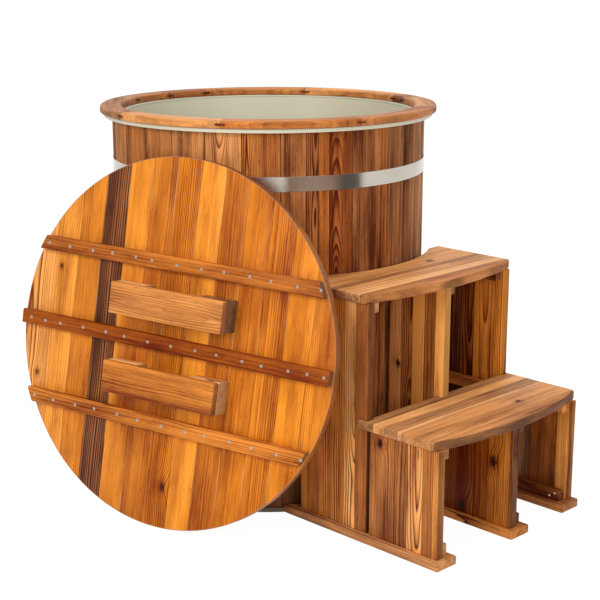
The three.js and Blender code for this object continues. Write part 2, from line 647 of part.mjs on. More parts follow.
function buildFrame(parent, frame) {
  const { name, y, cleatSide, shift, rear } = frame;
  const panelLow = FOOT_HEIGHT + FIT_GAP;
  const panelFar = y + PANEL_THICKNESS;
  const tall = standingBoard(
    [rear, y, panelLow],
    [TALL_PANEL_FRONT + shift, panelFar, UPPER_TREAD_UNDERSIDE - FIT_GAP],
    PANEL_EDGE,
  );
  const short = standingBoard(
    [SHORT_PANEL_REAR + shift, y, panelLow],
    [SHORT_PANEL_FRONT + shift, panelFar, LOWER_TREAD_UNDERSIDE - FIT_GAP],
    PANEL_EDGE,
  );
  addPiece(parent, `${name}_foot`, footRail(frame), FRAME_WOOD);
  addPiece(parent, `${name}_tall_panel`, tall, FRAME_WOOD);
  addPiece(parent, `${name}_short_panel`, short, FRAME_WOOD);

  const cleatY = cleatSide > 0 ? panelFar + FIT_GAP : y - FIT_GAP - CLEAT_WIDTH;
  const cleat = (front, underside) => standingBoard(
    [rear + CLEAT_END_SETBACK, cleatY, underside - FIT_GAP - CLEAT_HEIGHT],
    [front + shift - CLEAT_FRONT_SETBACK, cleatY + CLEAT_WIDTH, underside - FIT_GAP],
    CLEAT_EDGE,
  );
  addPiece(parent, `${name}_lower_cleat`, cleat(SHORT_PANEL_FRONT, LOWER_TREAD_UNDERSIDE), FRAME_WOOD);
  addPiece(parent, `${name}_upper_cleat`, cleat(TALL_PANEL_FRONT, UPPER_TREAD_UNDERSIDE), FRAME_WOOD);
}

function buildSteps(parent) {
  const turnedOut = new THREE.Group();
  turnedOut.rotation.z = radians(STEPS_AZIMUTH);
  parent.add(turnedOut);
  const steps = new THREE.Group();
  steps.position.y = STEPS_SIDE_SHIFT;
  turnedOut.add(steps);
  frames.forEach((frame) => buildFrame(steps, frame));
  addPiece(steps, 'upper_tread', upperTread(), TREAD_WOOD);
  addPiece(steps, 'lower_tread', lowerTread(), TREAD_WOOD);
}

buildShell(plungeTub);
buildStaves(plungeTub);
buildBands(plungeTub);
buildRim(plungeTub);
buildDrain(plungeTub);
buildLid(plungeTub);
buildSteps(plungeTub);

export default plungeTub;
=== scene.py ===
"""Looks of a round timber plunge tub, its leaning lid and its steps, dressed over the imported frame."""

import json
import math
from bisect import bisect

import bmesh
import bpy
from mathutils import Matrix, Vector


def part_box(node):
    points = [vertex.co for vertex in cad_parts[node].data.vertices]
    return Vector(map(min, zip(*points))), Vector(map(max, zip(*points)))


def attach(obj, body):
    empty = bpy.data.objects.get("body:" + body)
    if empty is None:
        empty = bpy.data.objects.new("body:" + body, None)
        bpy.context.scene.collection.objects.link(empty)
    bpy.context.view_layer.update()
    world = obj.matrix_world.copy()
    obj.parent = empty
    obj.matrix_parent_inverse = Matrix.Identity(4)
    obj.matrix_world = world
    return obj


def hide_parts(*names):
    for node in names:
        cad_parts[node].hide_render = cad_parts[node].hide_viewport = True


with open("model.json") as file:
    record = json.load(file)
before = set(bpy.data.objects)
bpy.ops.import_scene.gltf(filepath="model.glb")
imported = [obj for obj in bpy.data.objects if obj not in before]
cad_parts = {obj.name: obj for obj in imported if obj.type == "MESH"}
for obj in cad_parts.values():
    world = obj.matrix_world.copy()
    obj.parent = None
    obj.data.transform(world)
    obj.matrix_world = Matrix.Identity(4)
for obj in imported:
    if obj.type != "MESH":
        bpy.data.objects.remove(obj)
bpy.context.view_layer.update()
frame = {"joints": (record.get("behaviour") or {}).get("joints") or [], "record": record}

MM = 0.001
GAP = 0.3

# Tub sizes in millimetres, as the frame has them
STAVE_COUNT = 28
STAVE_ANGLE = 2 * math.pi / STAVE_COUNT
FIRST_JOINT = math.radians(-86.2)
TUB_RADIUS = 450.0
STAVE_THICKNESS = 28.0
STAVE_ROUND = 1.8
TONGUE_HALF = 4.5
TONGUE_LENGTH = 6.0
GROOVE_SLACK = 0.4
LINER_WALL = 5.0
LINER_INNER = 413.0
LINER_CORNER = 24.0
FLANGE_RADIUS = 473.0
FLANGE_LIP = 12.0
RING_INNER = 423.0
RING_ROUND = 7.0
BAND_THICKNESS = 1.5
BAND_EAR_LENGTH = 22.0
BAND_EAR_GAP = 12.0
CLOSURE_JOINT = 17
BAND_CLOSURE = FIRST_JOINT + CLOSURE_JOINT * STAVE_ANGLE
DRAIN_STAVE = 13
DRAIN_ANGLE = FIRST_JOINT + (DRAIN_STAVE + 0.5) * STAVE_ANGLE
DRAIN_HEIGHT = 76.0
DRAIN_HOLE = 17.5
TURN_STEPS = 252

# Lid sizes in millimetres, in the lid's own plane
LID_RADIUS = 496.0
LID_THICKNESS = 23.0
LID_ROLL = math.radians(2.1)
LID_BOARD_WIDTH = 75.0
LID_FIRST_JOINT = -408.0
BATTEN_WIDTH = 40.0
BATTEN_THICKNESS = 22.0
BATTEN_INSET = 4.0
HANDLE_LENGTH = 356.0
HANDLE_WIDTH = 85.0
HANDLE_BAR = 24.0
HANDLE_BLOCK_LENGTH = 94.0
HANDLE_BLOCK = 46.0
HANDLE_SHIFT = 15.0
HANDLE_HEIGHT = 106.0

# Steps sizes in millimetres: x outward from the tub, y across the frames
STEPS_SHIFT = 17.0
PANEL_THICKNESS = 25.0
FRAME_HALF = 293.0
TALL_FRONT = 651.0
TALL_REAR = 410.3
SHORT_REAR = 661.0
SHORT_FRONT = 891.0
MIDDLE_SHIFT = 11.0
MIDDLE_REAR = 467.0
MIDDLE_LEFT = -2.5
FOOT_WIDTH = 76.0
FOOT_HEIGHT = 24.0
FOOT_TOE = 14.0
FOOT_HEEL = 340.0
FOOT_HOLLOW = 458.6
CLEAT_WIDTH = 25.0
CLEAT_HEIGHT = 30.0
SCREW_RADIUS = 4.2
SMALL_SCREW = 3.2
SCREW_PAIRS = 4
SCREW_INSET = 30.0
SCREW_STAGGER = 17.0
LOW_SCREW_SHARE = 0.40
HIGH_SCREW_SHARE = 0.75
CLEAT_REAR_SETBACK = 14.0
CLEAT_FRONT_SETBACK = 9.0
TREAD_HALF = 303.0
TREAD_THICKNESS = 24.0
TREAD_BOW = 39.0
TREAD_CORNER = 14.0
BOW_HALF = TREAD_HALF - TREAD_CORNER
BOW_RADIUS = (BOW_HALF * BOW_HALF + TREAD_BOW * TREAD_BOW) / (2 * TREAD_BOW)
TREAD_ARC = 462.0
TREAD_LUG = 45.0
UPPER_TREAD_TOP = 666.0
UPPER_TREAD_FRONT = 648.0
LOWER_TREAD_TOP = 335.0
LOWER_TREAD_FRONT = 883.0
LOWER_TREAD_REAR = 643.0
LOWER_TREAD_EAR = 625.0
NOTCH = 0.5
TALL_TOP = UPPER_TREAD_TOP - TREAD_THICKNESS - GAP
SHORT_TOP = LOWER_TREAD_TOP - TREAD_THICKNESS - GAP

SHARP_EDGE = math.radians(35)


# Frames of the lid and the steps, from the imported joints
def joint_named(name):
    return next(joint for joint in frame["joints"] if joint["name"] == name)


def lid_frame():
    joint = joint_named("lid_lift_off")
    normal = Vector(joint["axis"]).normalized()
    upright = Vector((0, 0, 1))
    up = (upright - normal * upright.dot(normal)).normalized()
    right = up.cross(normal)
    side = right * math.cos(LID_ROLL) - up * math.sin(LID_ROLL)
    rise = normal.cross(side)
    place = Matrix((side, rise, normal)).transposed().to_4x4()
    place.translation = Vector(joint["pos_m"]) / MM
    return place


def steps_frame():
    out = Vector(joint_named("steps_pull_away")["axis"]).normalized()
    across = Vector((0, 0, 1)).cross(out)
    place = Matrix((out, across, Vector((0, 0, 1)))).transposed().to_4x4()
    place.translation = across * STEPS_SHIFT
    return place


LID = lid_frame()
STEPS = steps_frame()


# Forms in millimetres
def slab(outline, low, high, edge=0.0, steps=2):
    """A solid with its outline in x and y between two heights, its sharp edges rounded over."""
    form = bmesh.new()
    lower = [form.verts.new((x, y, low)) for x, y in outline]
    upper = [form.verts.new((x, y, high)) for x, y in outline]
    form.faces.new(lower[::-1])
    form.faces.new(upper)
    for i in range(len(outline)):
        j = (i + 1) % len(outline)
        form.faces.new((lower[i], lower[j], upper[j], upper[i]))
    form.normal_update()
    if edge:
        sharp = [e for e in form.edges if e.calc_face_angle() > SHARP_EDGE]
        bmesh.ops.bevel(form, geom=sharp, offset=edge, segments=steps, profile=0.5, affect="EDGES")
    return form


def box(low, high, edge, steps=2):
    outline = [(low[0], low[1]), (high[0], low[1]), (high[0], high[1]), (low[0], high[1])]
    return slab(outline, low[2], high[2], edge, steps)


def turned(profile, steps):
    """A profile of (radius, height) points turned about z; it ends on the axis or closes on itself."""
    form = bmesh.new()
    rows = []
    for radius, height in profile:
        if radius == 0:
            rows.append([form.verts.new((0, 0, height))] * steps)
            continue
        turns = [2 * math.pi * i / steps for i in range(steps)]
        rows.append([form.verts.new((radius * math.cos(a), radius * math.sin(a), height)) for a in turns])
    closed = profile[0][0] > 0
    for k in range(len(rows) if closed else len(rows) - 1):
        near = rows[k]
        far = rows[(k + 1) % len(rows)]
        for i in range(steps):
            j = (i + 1) % steps
            corners = list(dict.fromkeys((near[i], near[j], far[j], far[i])))
            form.faces.new(corners)
    return form


def arc(centre, radius, start, end, steps):
    """Points on an arc, angles in degrees, both ends among them."""
    angles = [math.radians(start + (end - start) * i / steps) for i in range(steps + 1)]
    return [(centre[0] + radius * math.cos(a), centre[1] + radius * math.sin(a)) for a in angles]


def hexagon(across_flats):
    radius = across_flats / math.sqrt(3)
    return arc((0, 0), radius, 0, 300, 5)


# Which of a form's axes run along the grain, across the boards and through them
ALONG_X = (0, 1, 2)
ALONG_Y = (1, 0, 2)
STAVE_GRAIN = (2, 1, 0)
PANEL_GRAIN = (2, 0, 1)

# A board's tone is (lightness, warmth, seed, strength of its rings)
PLAIN_BOARD = ((0, (0.5, 0.5, 0.5, 0.5)),)
NO_SEAM = 1000.0

# A knot is (place along the grain, place across it, size)
NO_KNOT = (9000.0, 0.0, 1.0)


def part_boards(form, axis, cuts):
    """Parts a form at planes across one axis, so that each board has its own points."""
    normal = Vector((0, 0, 0))
    normal[axis] = 1
    for cut in cuts:
        everything = form.verts[:] + form.edges[:] + form.faces[:]
        parted = bmesh.ops.bisect_plane(form, geom=everything, plane_co=normal * cut, plane_no=normal)
        seam = [item for item in parted["geom_cut"] if isinstance(item, bmesh.types.BMEdge)]
        bmesh.ops.split_edges(form, edges=seam)


def put_in_scene(name, data):
    thing = bpy.data.objects.new(name, data)
    bpy.context.scene.collection.objects.link(thing)
    return thing


class Piece:
    """One visible piece: solids in millimetres, with the wood's own coordinates kept at every point."""

    def __init__(self, name):
        self.name = name
        self.points = []
        self.faces = []
        self.grain = []
        self.board = []
        self.knot = []
        self.end = []

    def add(self, form, place=Matrix(), grain=ALONG_X, boards=PLAIN_BOARD, seams=True):
        """Boards are rows of (start across the grain, tone, knot), the knot left out where there is none."""
        run, across, deep = grain
        cuts = [board[0] for board in boards[1:]]
        part_boards(form, across, cuts)
        lows = [min(vert.co[axis] for vert in form.verts) for axis in range(3)]
        highs = [max(vert.co[axis] for vert in form.verts) for axis in range(3)]
        bounds = [lows[across], *cuts, highs[across]]
        middle_run = (lows[run] + highs[run]) / 2
        start = len(self.points)
        form.verts.index_update()
        for vert in form.verts:
            centres = [face.calc_center_median()[across] for face in vert.link_faces]
            i = bisect(cuts, sum(centres) / len(centres))
            centre = (bounds[i] + bounds[i + 1]) / 2
            half = (bounds[i + 1] - bounds[i]) / 2 if seams else NO_SEAM
            _, tone, *knots = boards[i]
            knot = knots[0] if knots else NO_KNOT
            self.points.append(place @ vert.co * MM)
            self.grain += [(vert.co[run] - middle_run) * MM, (vert.co[across] - centre) * MM]
            self.grain.append((vert.co[deep] - highs[deep]) * MM)
            self.board += tone
            self.knot += [(knot[0] - middle_run) * MM, (knot[1] - centre) * MM, knot[2] * MM, half * MM]
        form.normal_update()
        for face in form.faces:
            self.faces.append([start + vert.index for vert in face.verts])
            self.end.append(abs(face.normal[run]))
        form.free()
        return self

    def build(self, body, slot, material, *nodes):
        mesh = bpy.data.meshes.new(self.name)
        mesh.from_pydata(self.points, [], self.faces)
        mesh.attributes.new("grain", "FLOAT_VECTOR", "POINT").data.foreach_set("vector", self.grain)
        mesh.attributes.new("board", "FLOAT_COLOR", "POINT").data.foreach_set("color", self.board)
        mesh.attributes.new("knot", "FLOAT_COLOR", "POINT").data.foreach_set("color", self.knot)
        mesh.attributes.new("end", "FLOAT", "FACE").data.foreach_set("value", self.end)
        mesh.polygons.foreach_set("use_smooth", [True] * len(mesh.polygons))
        mesh.set_sharp_from_angle(angle=SHARP_EDGE)
        mesh.materials.append(material)
        piece = put_in_scene(self.name, mesh)
        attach(piece, body)
        if nodes:
            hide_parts(*nodes)


# Shader maths
class Flow:
    """A socket in a material's node tree. Sums and products of it add Math nodes."""

    def __init__(self, tree, socket=None):
        self.tree = tree
        self.socket = socket

    def node(self, kind, values, out=0, stops=(), held=False, **settings):
        """One output of a new node: its settings and stops come first, then its sockets' values and links."""
        made = self.tree.nodes.new(kind)
        for name, value in settings.items():
            setattr(made, name, value)
        if stops:
            self.set_stops(made.color_ramp, stops, held)
        for key, value in values.items():
            if isinstance(value, Flow):
                self.tree.links.new(value.socket, made.inputs[key])
            else:
                made.inputs[key].default_value = value
        return Flow(self.tree, made.outputs[out])

    @staticmethod
    def set_stops(ramp, stops, held):
        ramp.interpolation = "CONSTANT" if held else "LINEAR"
        while len(ramp.elements) < len(stops):
            ramp.elements.new(1.0)
        for element, (position, colour) in zip(ramp.elements, stops):
            element.position = position
            element.color = (*colour, 1.0)

    def math(self, operation, *others):
        return self.node("ShaderNodeMath", dict(enumerate((self, *others))), operation=operation)

    def __add__(self, other):
        return self.math("ADD", other)

    def __sub__(self, other):
        return self.math("SUBTRACT", other)

    def __mul__(self, other):
        return self.math("MULTIPLY", other)

    def __truediv__(self, other):
        return self.math("DIVIDE", other)

    def __pow__(self, other):
        return self.math("POWER", other)

    def __rsub__(self, other):
        return self.node("ShaderNodeMath", {0: other, 1: self}, operation="SUBTRACT")

    __radd__ = __add__
    __rmul__ = __mul__

    def fract(self):
        return self.math("FRACT")

    def smooth(self, low, high):
        """0 below low, 1 above high, with an eased step between."""
        values = {"Value": self, "From Min": low, "From Max": high}
        return self.node("ShaderNodeMapRange", values, interpolation_type="SMOOTHSTEP")

    def fade(self, low, high):
        """1 below low, 0 above high, with an eased step between."""
        return 1.0 - self.smooth(low, high)

    def ramp(self, position, stops, held=False):
        """A colour by its place among the stops. Held stops keep their colour up to the next."""
        return self.node("ShaderNodeValToRGB", {0: position}, stops=stops, held=held)

    def here(self):
        """The shaded point in metres, in the piece's own coordinates, which are the frame's at rest."""
        return self.node("ShaderNodeTexCoord", {}, out="Object")

    def parts(self):
        split = self.node("ShaderNodeSeparateXYZ", {0: self})
        return [Flow(self.tree, socket) for socket in split.socket.node.outputs]

    def vector(self, x, y, z):
        return self.node("ShaderNodeCombineXYZ", {0: x, 1: y, 2: z})

    def noise(self, x, y, z, detail=2.0, roughness=0.5):
        values = {"Vector": self.vector(x, y, z), "Scale": 1.0, "Detail": detail, "Roughness": roughness}
        return self.node("ShaderNodeTexNoise", values)

    def ripple(self, x, y, z, detail=2.0, roughness=0.5):
        """Noise about 0."""
        return self.noise(x, y, z, detail, roughness) - 0.5

    def mixed(self, first, second, share):
        """Two colours mixed by a share from 0 to 1."""
        values = {0: share, 6: first, 7: second}
        return self.node("ShaderNodeMix", values, out=2, data_type="RGBA")

    def attribute(self, name, out="Vector"):
        return self.node("ShaderNodeAttribute", {}, out=out, attribute_name=name)


def new_material(name):
    material = bpy.data.materials.new(name)
    material.use_nodes = True
    shader = material.node_tree.nodes["Principled BSDF"]
    return material, shader, Flow(material.node_tree)


def connect(shader, name, flow):
    flow.tree.links.new(flow.socket, shader.inputs[name])


def bump(flow, height, distance, strength):
    return flow.node("ShaderNodeBump", {"Height": height, "Distance": distance, "Strength": strength})


# Larch: growth rings of a leaning log cut through by each board
EARLY_TAN = (0.560, 0.276, 0.126, 1)
LATE_TAN = (0.090, 0.030, 0.012, 1)
EARLY_ORANGE = (0.880, 0.300, 0.021, 1)
LATE_ORANGE = (0.240, 0.030, 0.002, 1)
KNOT_BROWN = (0.022, 0.008, 0.004, 1)
KNOT_BLACK = (0.006, 0.003, 0.002, 1)
END_BROWN = (0.110, 0.060, 0.034, 1)
# Pale colour of the painted highlights along stretches of the lid's joints
JOINT_HIGHLIGHT_PALE = (0.800, 0.450, 0.180, 1)
END_GRAIN = (0.55, 0.90)
RING_PROFILE = ((0.0, 0.4), (0.05, 0.0), (0.48, 0.08), (0.80, 0.55), (0.93, 1.0), (1.0, 0.4))
MEAN_LATE = 0.25
MEAN_VEIN = 0.1
MEAN_DARK = 0.86
LIGHT_GAIN = 1.4
LIGHT_FLOOR = 0.3
GREEN_POWER = 1.5
BLUE_POWER = 1.9
DEEPEST_SHADE = 0.2
DARK_JOINT = 0.45
OPEN_JOINT = 0.55
JOINT_WIDTH = 0.0018
# Painted highlights along the lid's joints: their width in metres from the joint, and their share
GLINT_WIDTH = (0.0005, 0.0022)
GLINT_SHARE = 0.65
GRAIN_RELIEF = 0.00025

# A board's seed sets its place in the log, and through these the pith's place and the rings' spacing
SEED_STRIDE = 23.0
SEED_SPREAD = 9.0
LEAN_DRAW = 37.7
DEPTH_DRAW = 73.1
SPACING_DRAW = 11.3
PITH_SPAN = 0.36
PITH_NEARNESS = -700.0
PITH_DEPTH = 0.005
PITH_SPREAD = 0.010

# Noise in the wood, as repeats per metre along the grain and across it
RING_WAVES = (5.0, 22.0)
FIBRES = (16.0, 800.0)
STREAKS = (2.4, 60.0)
BROAD_BANDS = (1.3, 17.0)
PATCHES = (4.5, 16.0)
FLECKS = (40.0, 430.0)
VEINS = (1.9, 95.0)
VEIN_GROUPS = (1.1, 30.0)

# Knots: falls are per squared size of the knot
KNOT_STRETCH = 0.7
KNOT_SWELL = 1.5
SWELL_FALL = -0.16
HALO_FALL = -0.40
KNOT_SPLITS = 150.0
KNOT_RAYS = 2.6
KNOT_CORE = (0.55, 1.05)
KNOT_HOLLOW = (0.15, 0.55)


def larch(name, **looks):
    """Larch whose place in the log, tone and knots are kept at every point of the mesh."""
    material, shader, flow = new_material(name)
    place = flow.attribute("grain").parts()
    tone = flow.attribute("board").parts() + [flow.attribute("board", "Alpha")]
    knot = flow.attribute("knot").parts()
    edge = flow.attribute("knot", "Alpha") - place[1].math("ABSOLUTE")
    end = flow.attribute("end", "Fac").smooth(*END_GRAIN)
    wood_rings(shader, flow, place, tone, edge, knot, end, **looks)
    return material


def grained(flow, log, pitch, detail=2.0, roughness=0.5):
    """Noise about 0, drawn out along the grain."""
    run, across, deep = log
    along_pitch, across_pitch = pitch
    return flow.ripple(run * along_pitch, across * across_pitch, deep * across_pitch, detail, roughness)


def ring_field(flow, log, along, seed, wander):
    """Distance from a pith that a seed of 0.5 puts under the middle of the board, and others to one side."""
    run, across, deep = log
    drift = flow.ripple(run * 2.3, seed * SEED_SPREAD, 0.0, detail=1.0)
    aside = (seed - 0.5) * PITH_SPAN
    nearness = (aside * aside * PITH_NEARNESS).math("EXPONENT")
    lean = ((seed * LEAN_DRAW).fract() - 0.5) * (nearness * 0.10 + 0.04)
    sway = drift * (nearness * 0.055 + 0.012)
    below = (seed * DEPTH_DRAW).fract() * PITH_SPREAD + PITH_DEPTH + along * lean + sway + deep
    side = across - aside + drift * 0.02
    return (side * side + below * below).math("SQRT") + grained(flow, log, RING_WAVES) * wander


def knot_marks(flow, place, seed, knot):
    """How far a knot swells the rings round it, and the shares of its halo, core and hollow."""
    along, across, deep = place
    knot_along, knot_across, size = knot
    from_along = (along - knot_along) * KNOT_STRETCH
    from_across = across - knot_across
    away = (from_along * from_along + from_across * from_across).math("SQRT")
    reach = away / size
    far = reach * reach
    swell = (far * SWELL_FALL).math("EXPONENT") * size * KNOT_SWELL
    ragged = flow.ripple(along * KNOT_SPLITS, across * KNOT_SPLITS, deep * KNOT_SPLITS, 3.0, 0.65)
    rays = flow.ripple(from_along / away * KNOT_RAYS, from_across / away * KNOT_RAYS, seed * SEED_SPREAD)
    halo = (far * HALO_FALL).math("EXPONENT") * (ragged + 0.55)
    core = (reach + ragged * 0.7 + rays * 1.5).fade(*KNOT_CORE)
    hollow = (reach + ragged * 0.5 + rays * 1.8).fade(*KNOT_HOLLOW)
    return swell, halo, core, hollow


def late_wood(flow, field, run, seed, ring):
    """Late wood climbs to each ring's dark edge and drops. The second value is how strongly a ring shows."""
    uneven = flow.noise(field * 38.0, seed * 5.0, run * 0.2, detail=0.0)
    spacing = (seed * SPACING_DRAW).fract() * (ring * 0.7) + ring * 0.55
    phase = (field / spacing + uneven * 3.4).fract()
    stops = [(position, (share, share, share)) for position, share in RING_PROFILE]
    late = flow.ramp(phase, stops).parts()[0]
    strength = flow.noise(field * 30.0, seed * 3.0, run * 0.8, detail=1.0).smooth(0.30, 0.68) * 1.5 + 0.1
    return late, strength


def resin_veins(flow, log):
    """Thin dark lines along the grain, in groups."""
    line = grained(flow, log, VEINS, 1.0).math("ABSOLUTE").fade(0.0, 0.12)
    return line * grained(flow, log, VEIN_GROUPS, 1.0).smooth(-0.10, 0.22)


def wood_figure(flow, log, mottle, streaks):
    """Streaks, bands, patches and flecks that the rings don't account for."""
    streak = grained(flow, log, STREAKS, 2.0, 0.6)
    band = grained(flow, log, BROAD_BANDS, 1.0)
    patch = grained(flow, log, PATCHES, 3.0, 0.55)
    fleck = grained(flow, log, FLECKS, 0.0).smooth(0.18, 0.30)
    return streak * streaks + band * 1.2 + patch * mottle + fleck * 0.30


def wood_rings(
    shader, flow, place, tone, edge, knot=None, end=None, ring=0.0065, gloss=0.42, sheen=0.10, contrast=1.0,
    veins=0.4, wander=0.007, mottle=1.2, streaks=1.3, knots=0.9, ends=0.2, pale_joints=False, cover=None,
):
    """Larch as one board shows it, by its place in the log, its tone, its knot, its joints with painted
    highlights on some, and its cover of wear, stains, painted shade and painted highlights.
    """
    along, across, deep = place
    light, warm, seed, lines = tone
    log = (along + seed * SEED_STRIDE, across, deep)
    field = ring_field(flow, log, along, seed, wander)
    if knot:
        swell, halo, core, hollow = knot_marks(flow, place, seed, knot)
        field = field + swell
    late, strength = late_wood(flow, field, log[0], seed, ring)
    growth = (late - MEAN_LATE) * strength * lines
    if end:
        growth = growth * (1.0 - end * 0.8)
    fibre = grained(flow, log, FIBRES, 2.0, 0.6)
    vein = resin_veins(flow, log) * veins - MEAN_VEIN
    figure = wood_figure(flow, log, mottle, streaks) + fibre * 0.6 + vein * 0.35
    share = growth + figure * contrast + MEAN_DARK - light
    if knot:
        share = share + halo
    share = share.math("MAXIMUM", 0.0).math("MINIMUM", 1.0)
    early = flow.mixed(EARLY_TAN, EARLY_ORANGE, warm)
    dark = flow.mixed(LATE_TAN, LATE_ORANGE, warm)
    colour = flow.mixed(early, dark, share)
    if knot:
        colour = flow.mixed(colour, KNOT_BROWN, core * knots)
        colour = flow.mixed(colour, KNOT_BLACK, hollow * knots)
    joint = DARK_JOINT
    # Painted highlight: on stretches of some joints the dark seam gives way, as if their edges caught the
    # light.
    if pale_joints:
        glinting = flow.noise(along * 6.0, seed * 20.0, 0.0, detail=1.0).smooth(0.48, 0.64)
        joint = glinting * (1.0 - OPEN_JOINT) + OPEN_JOINT
    seam = edge.smooth(0.0, JOINT_WIDTH) * (1.0 - joint) + joint
    carved = growth * 0.30 + vein * (contrast * 0.30) + fibre * (contrast * 0.45)
    shade = seam * (1.0 - carved).math("MAXIMUM", DEEPEST_SHADE)
    level = light * LIGHT_GAIN + LIGHT_FLOOR
    tint = flow.vector(level * shade, level**GREEN_POWER * shade, level**BLUE_POWER * shade)
    colour = flow.node("ShaderNodeVectorMath", {0: colour, 1: tint}, operation="MULTIPLY")
    # Painted highlight: a pale line along those stretches of the joints.
    if pale_joints:
        colour = flow.mixed(colour, JOINT_HIGHLIGHT_PALE, glinting * edge.fade(*GLINT_WIDTH) * GLINT_SHARE)
    if end:
        colour = flow.mixed(colour, END_BROWN, end * ends)
    if cover:
        layer, covered = cover(flow, along, across, seed)
        colour = flow.mixed(colour, layer, covered)
    shader.inputs["Specular IOR Level"].default_value = sheen
    connect(shader, "Base Color", colour)
    connect(shader, "Roughness", gloss + share * 0.12 + fibre * 0.15)
    connect(shader, "Normal", bump(flow, fibre * 0.6 - late * 0.5, GRAIN_RELIEF, 0.6))


# Covers: what wear, stains, painted shade and painted highlights lay over the larch, as a colour and its
# share, with widths in metres
# Dark brown of the painted shade at the staves' foot and of the stains along their joints
SHADE_AND_STAIN_BROWN = (0.060, 0.026, 0.013, 1)
WORN_EDGE = (0.085, 0.032, 0.014, 1)
SAWN_RIM = (0.175, 0.062, 0.022, 1)
# Pale tan of the painted highlight just inside the lid's sawn rim
HIGHLIGHT_TAN = (0.420, 0.210, 0.110, 1)
# Painted shade at the staves' foot: heights from the stave's middle where it is full and where it ends, its
# raggedness and its share
FOOT_SHADE_HEIGHTS = (-0.50, -0.30)
FOOT_SHADE_RAGGED = 0.10
FOOT_SHADE_SHARE = 0.75
JOINT_STAIN = (0.0008, 0.0022)
SAWN_WIDTH = 0.0008
RIM_COVER_WIDTH = (0.0010, 0.0032)
RIM_COVER_RAGGED = 0.001
WORN_WIDTH = (0.001, 0.006)
WORN_RAGGED = 0.016


def foot_shade_and_joint_stain(flow, along, across, seed):
    """Staves are drawn darker near the floor, as painted shade, and stained along their joints."""
    x, y, _ = flow.here().parts()
    turn = ((y.math("ARCTAN2", x) - FIRST_JOINT) / STAVE_ANGLE).fract()
    from_joint = (0.5 - (turn - 0.5).math("ABSOLUTE")) * (STAVE_ANGLE * TUB_RADIUS * MM)
    ragged = flow.ripple(along * 6.0, across * 60.0, seed * SEED_SPREAD)
    # Painted shade: the staves darken towards the floor, with a ragged edge.
    foot = (along + ragged * FOOT_SHADE_RAGGED).fade(*FOOT_SHADE_HEIGHTS) * FOOT_SHADE_SHARE
    joint = from_joint.fade(*JOINT_STAIN) * (ragged + 0.65)
    return SHADE_AND_STAIN_BROWN, foot.math("MAXIMUM", joint)


def rim_highlight(flow, along, across, seed):
    """The lid's sawn rim is dark, with a pale band just inside it that is a painted highlight along the edge.
    """
    values = {0: flow.here(), 1: LID.translation * MM}
    radius = flow.node("ShaderNodeVectorMath", values, out="Value", operation="DISTANCE")
    ragged = flow.ripple(along * 22.0, across * 22.0, seed * SEED_SPREAD)
    inward = LID_RADIUS * MM - radius + ragged * RIM_COVER_RAGGED
    # Painted highlight: a pale tan band just inside the dark sawn rim.
    layer = flow.mixed(SAWN_RIM, HIGHLIGHT_TAN, inward.smooth(0.0, SAWN_WIDTH))
    return layer, inward.fade(*RIM_COVER_WIDTH) * (0.75 + ragged * 0.6)


def worn_front(front, amount):
    """A tread's bowed front edge is worn dark."""
    centre = STEPS @ Vector((front + TREAD_BOW - BOW_RADIUS, 0, 0)) * MM

    def cover(flow, along, across, seed):
        x, y, z = flow.here().parts()
        from_x = x - centre.x
        from_y = y - centre.y
        setback = BOW_RADIUS * MM - (from_x * from_x + from_y * from_y).math("SQRT")
        ragged = flow.ripple(along * 11.0, z * 150.0, seed * SEED_SPREAD, 4.0, 0.6)
        worn = (setback + ragged * WORN_RAGGED).fade(*WORN_WIDTH)
        return WORN_EDGE, worn * (ragged * 1.1 + amount)

    return cover


# Finishes
LINER_PALE = (0.600, 0.570, 0.435, 1)
LINER_DEEP = (0.545, 0.515, 0.385, 1)
LINER_LEDGE = (0.420, 0.395, 0.290, 1)
LEDGE_HEIGHT = 1.054
LEDGE_FADE = 0.001
BAND_STEEL = (0.61, 0.555, 0.49, 1)
SCREW_STEEL = (0.50, 0.50, 0.46, 1)
STEEL_STAIN = (0.82, 0.80, 0.77)


def liner_plastic():
    """A pale moulding, a little deeper where the rim ring shades it."""
    material, shader, flow = new_material("liner_plastic_looks")
    x, y, z = flow.here().parts()
    cloud = flow.noise(x * 4.0, y * 4.0, z * 3.0, detail=3.0)
    pebble = flow.noise(x * 700.0, y * 700.0, z * 700.0, detail=1.0)
    colour = flow.mixed(LINER_DEEP, LINER_PALE, cloud)
    radius = (x * x + y * y).math("SQRT")
    inner = RING_INNER * MM
    ledge = z.smooth(LEDGE_HEIGHT, LEDGE_HEIGHT + LEDGE_FADE) * radius.fade(inner, inner + LEDGE_FADE / 2)
    connect(shader, "Base Color", flow.mixed(colour, LINER_LEDGE, ledge))
    connect(shader, "Roughness", 0.34 + cloud * 0.12)
    connect(shader, "Normal", bump(flow, pebble, 0.0001, 0.4))
    return material


def brushed_steel(name, colour, around):
    """Steel brushed round the tub, which draws reflections out up and down, or evenly fine."""
    material, shader, flow = new_material(name)
    x, y, z = flow.here().parts()
    stain = flow.noise(x * 9.0, y * 9.0, z * 14.0, detail=3.0)
    stained = [level * dull for level, dull in zip(colour, STEEL_STAIN)]
    shader.inputs["Metallic"].default_value = 1.0
    connect(shader, "Base Color", flow.mixed((*stained, 1), colour, stain))
    if around:
        lines = flow.noise(y.math("ARCTAN2", x) * 6.0, z * 2600.0, 0.0, detail=3.0)
        shader.inputs["Anisotropic"].default_value = 1.0
        shader.inputs["Anisotropic Rotation"].default_value = 0.25
        connect(shader, "Roughness", 0.15 + lines * 0.08)
    else:
        lines = flow.noise(x * 500.0, y * 500.0, z * 500.0, detail=3.0)
        connect(shader, "Roughness", 0.09 + lines * 0.10)
    connect(shader, "Normal", bump(flow, lines, 0.00006, 0.7))
    return material


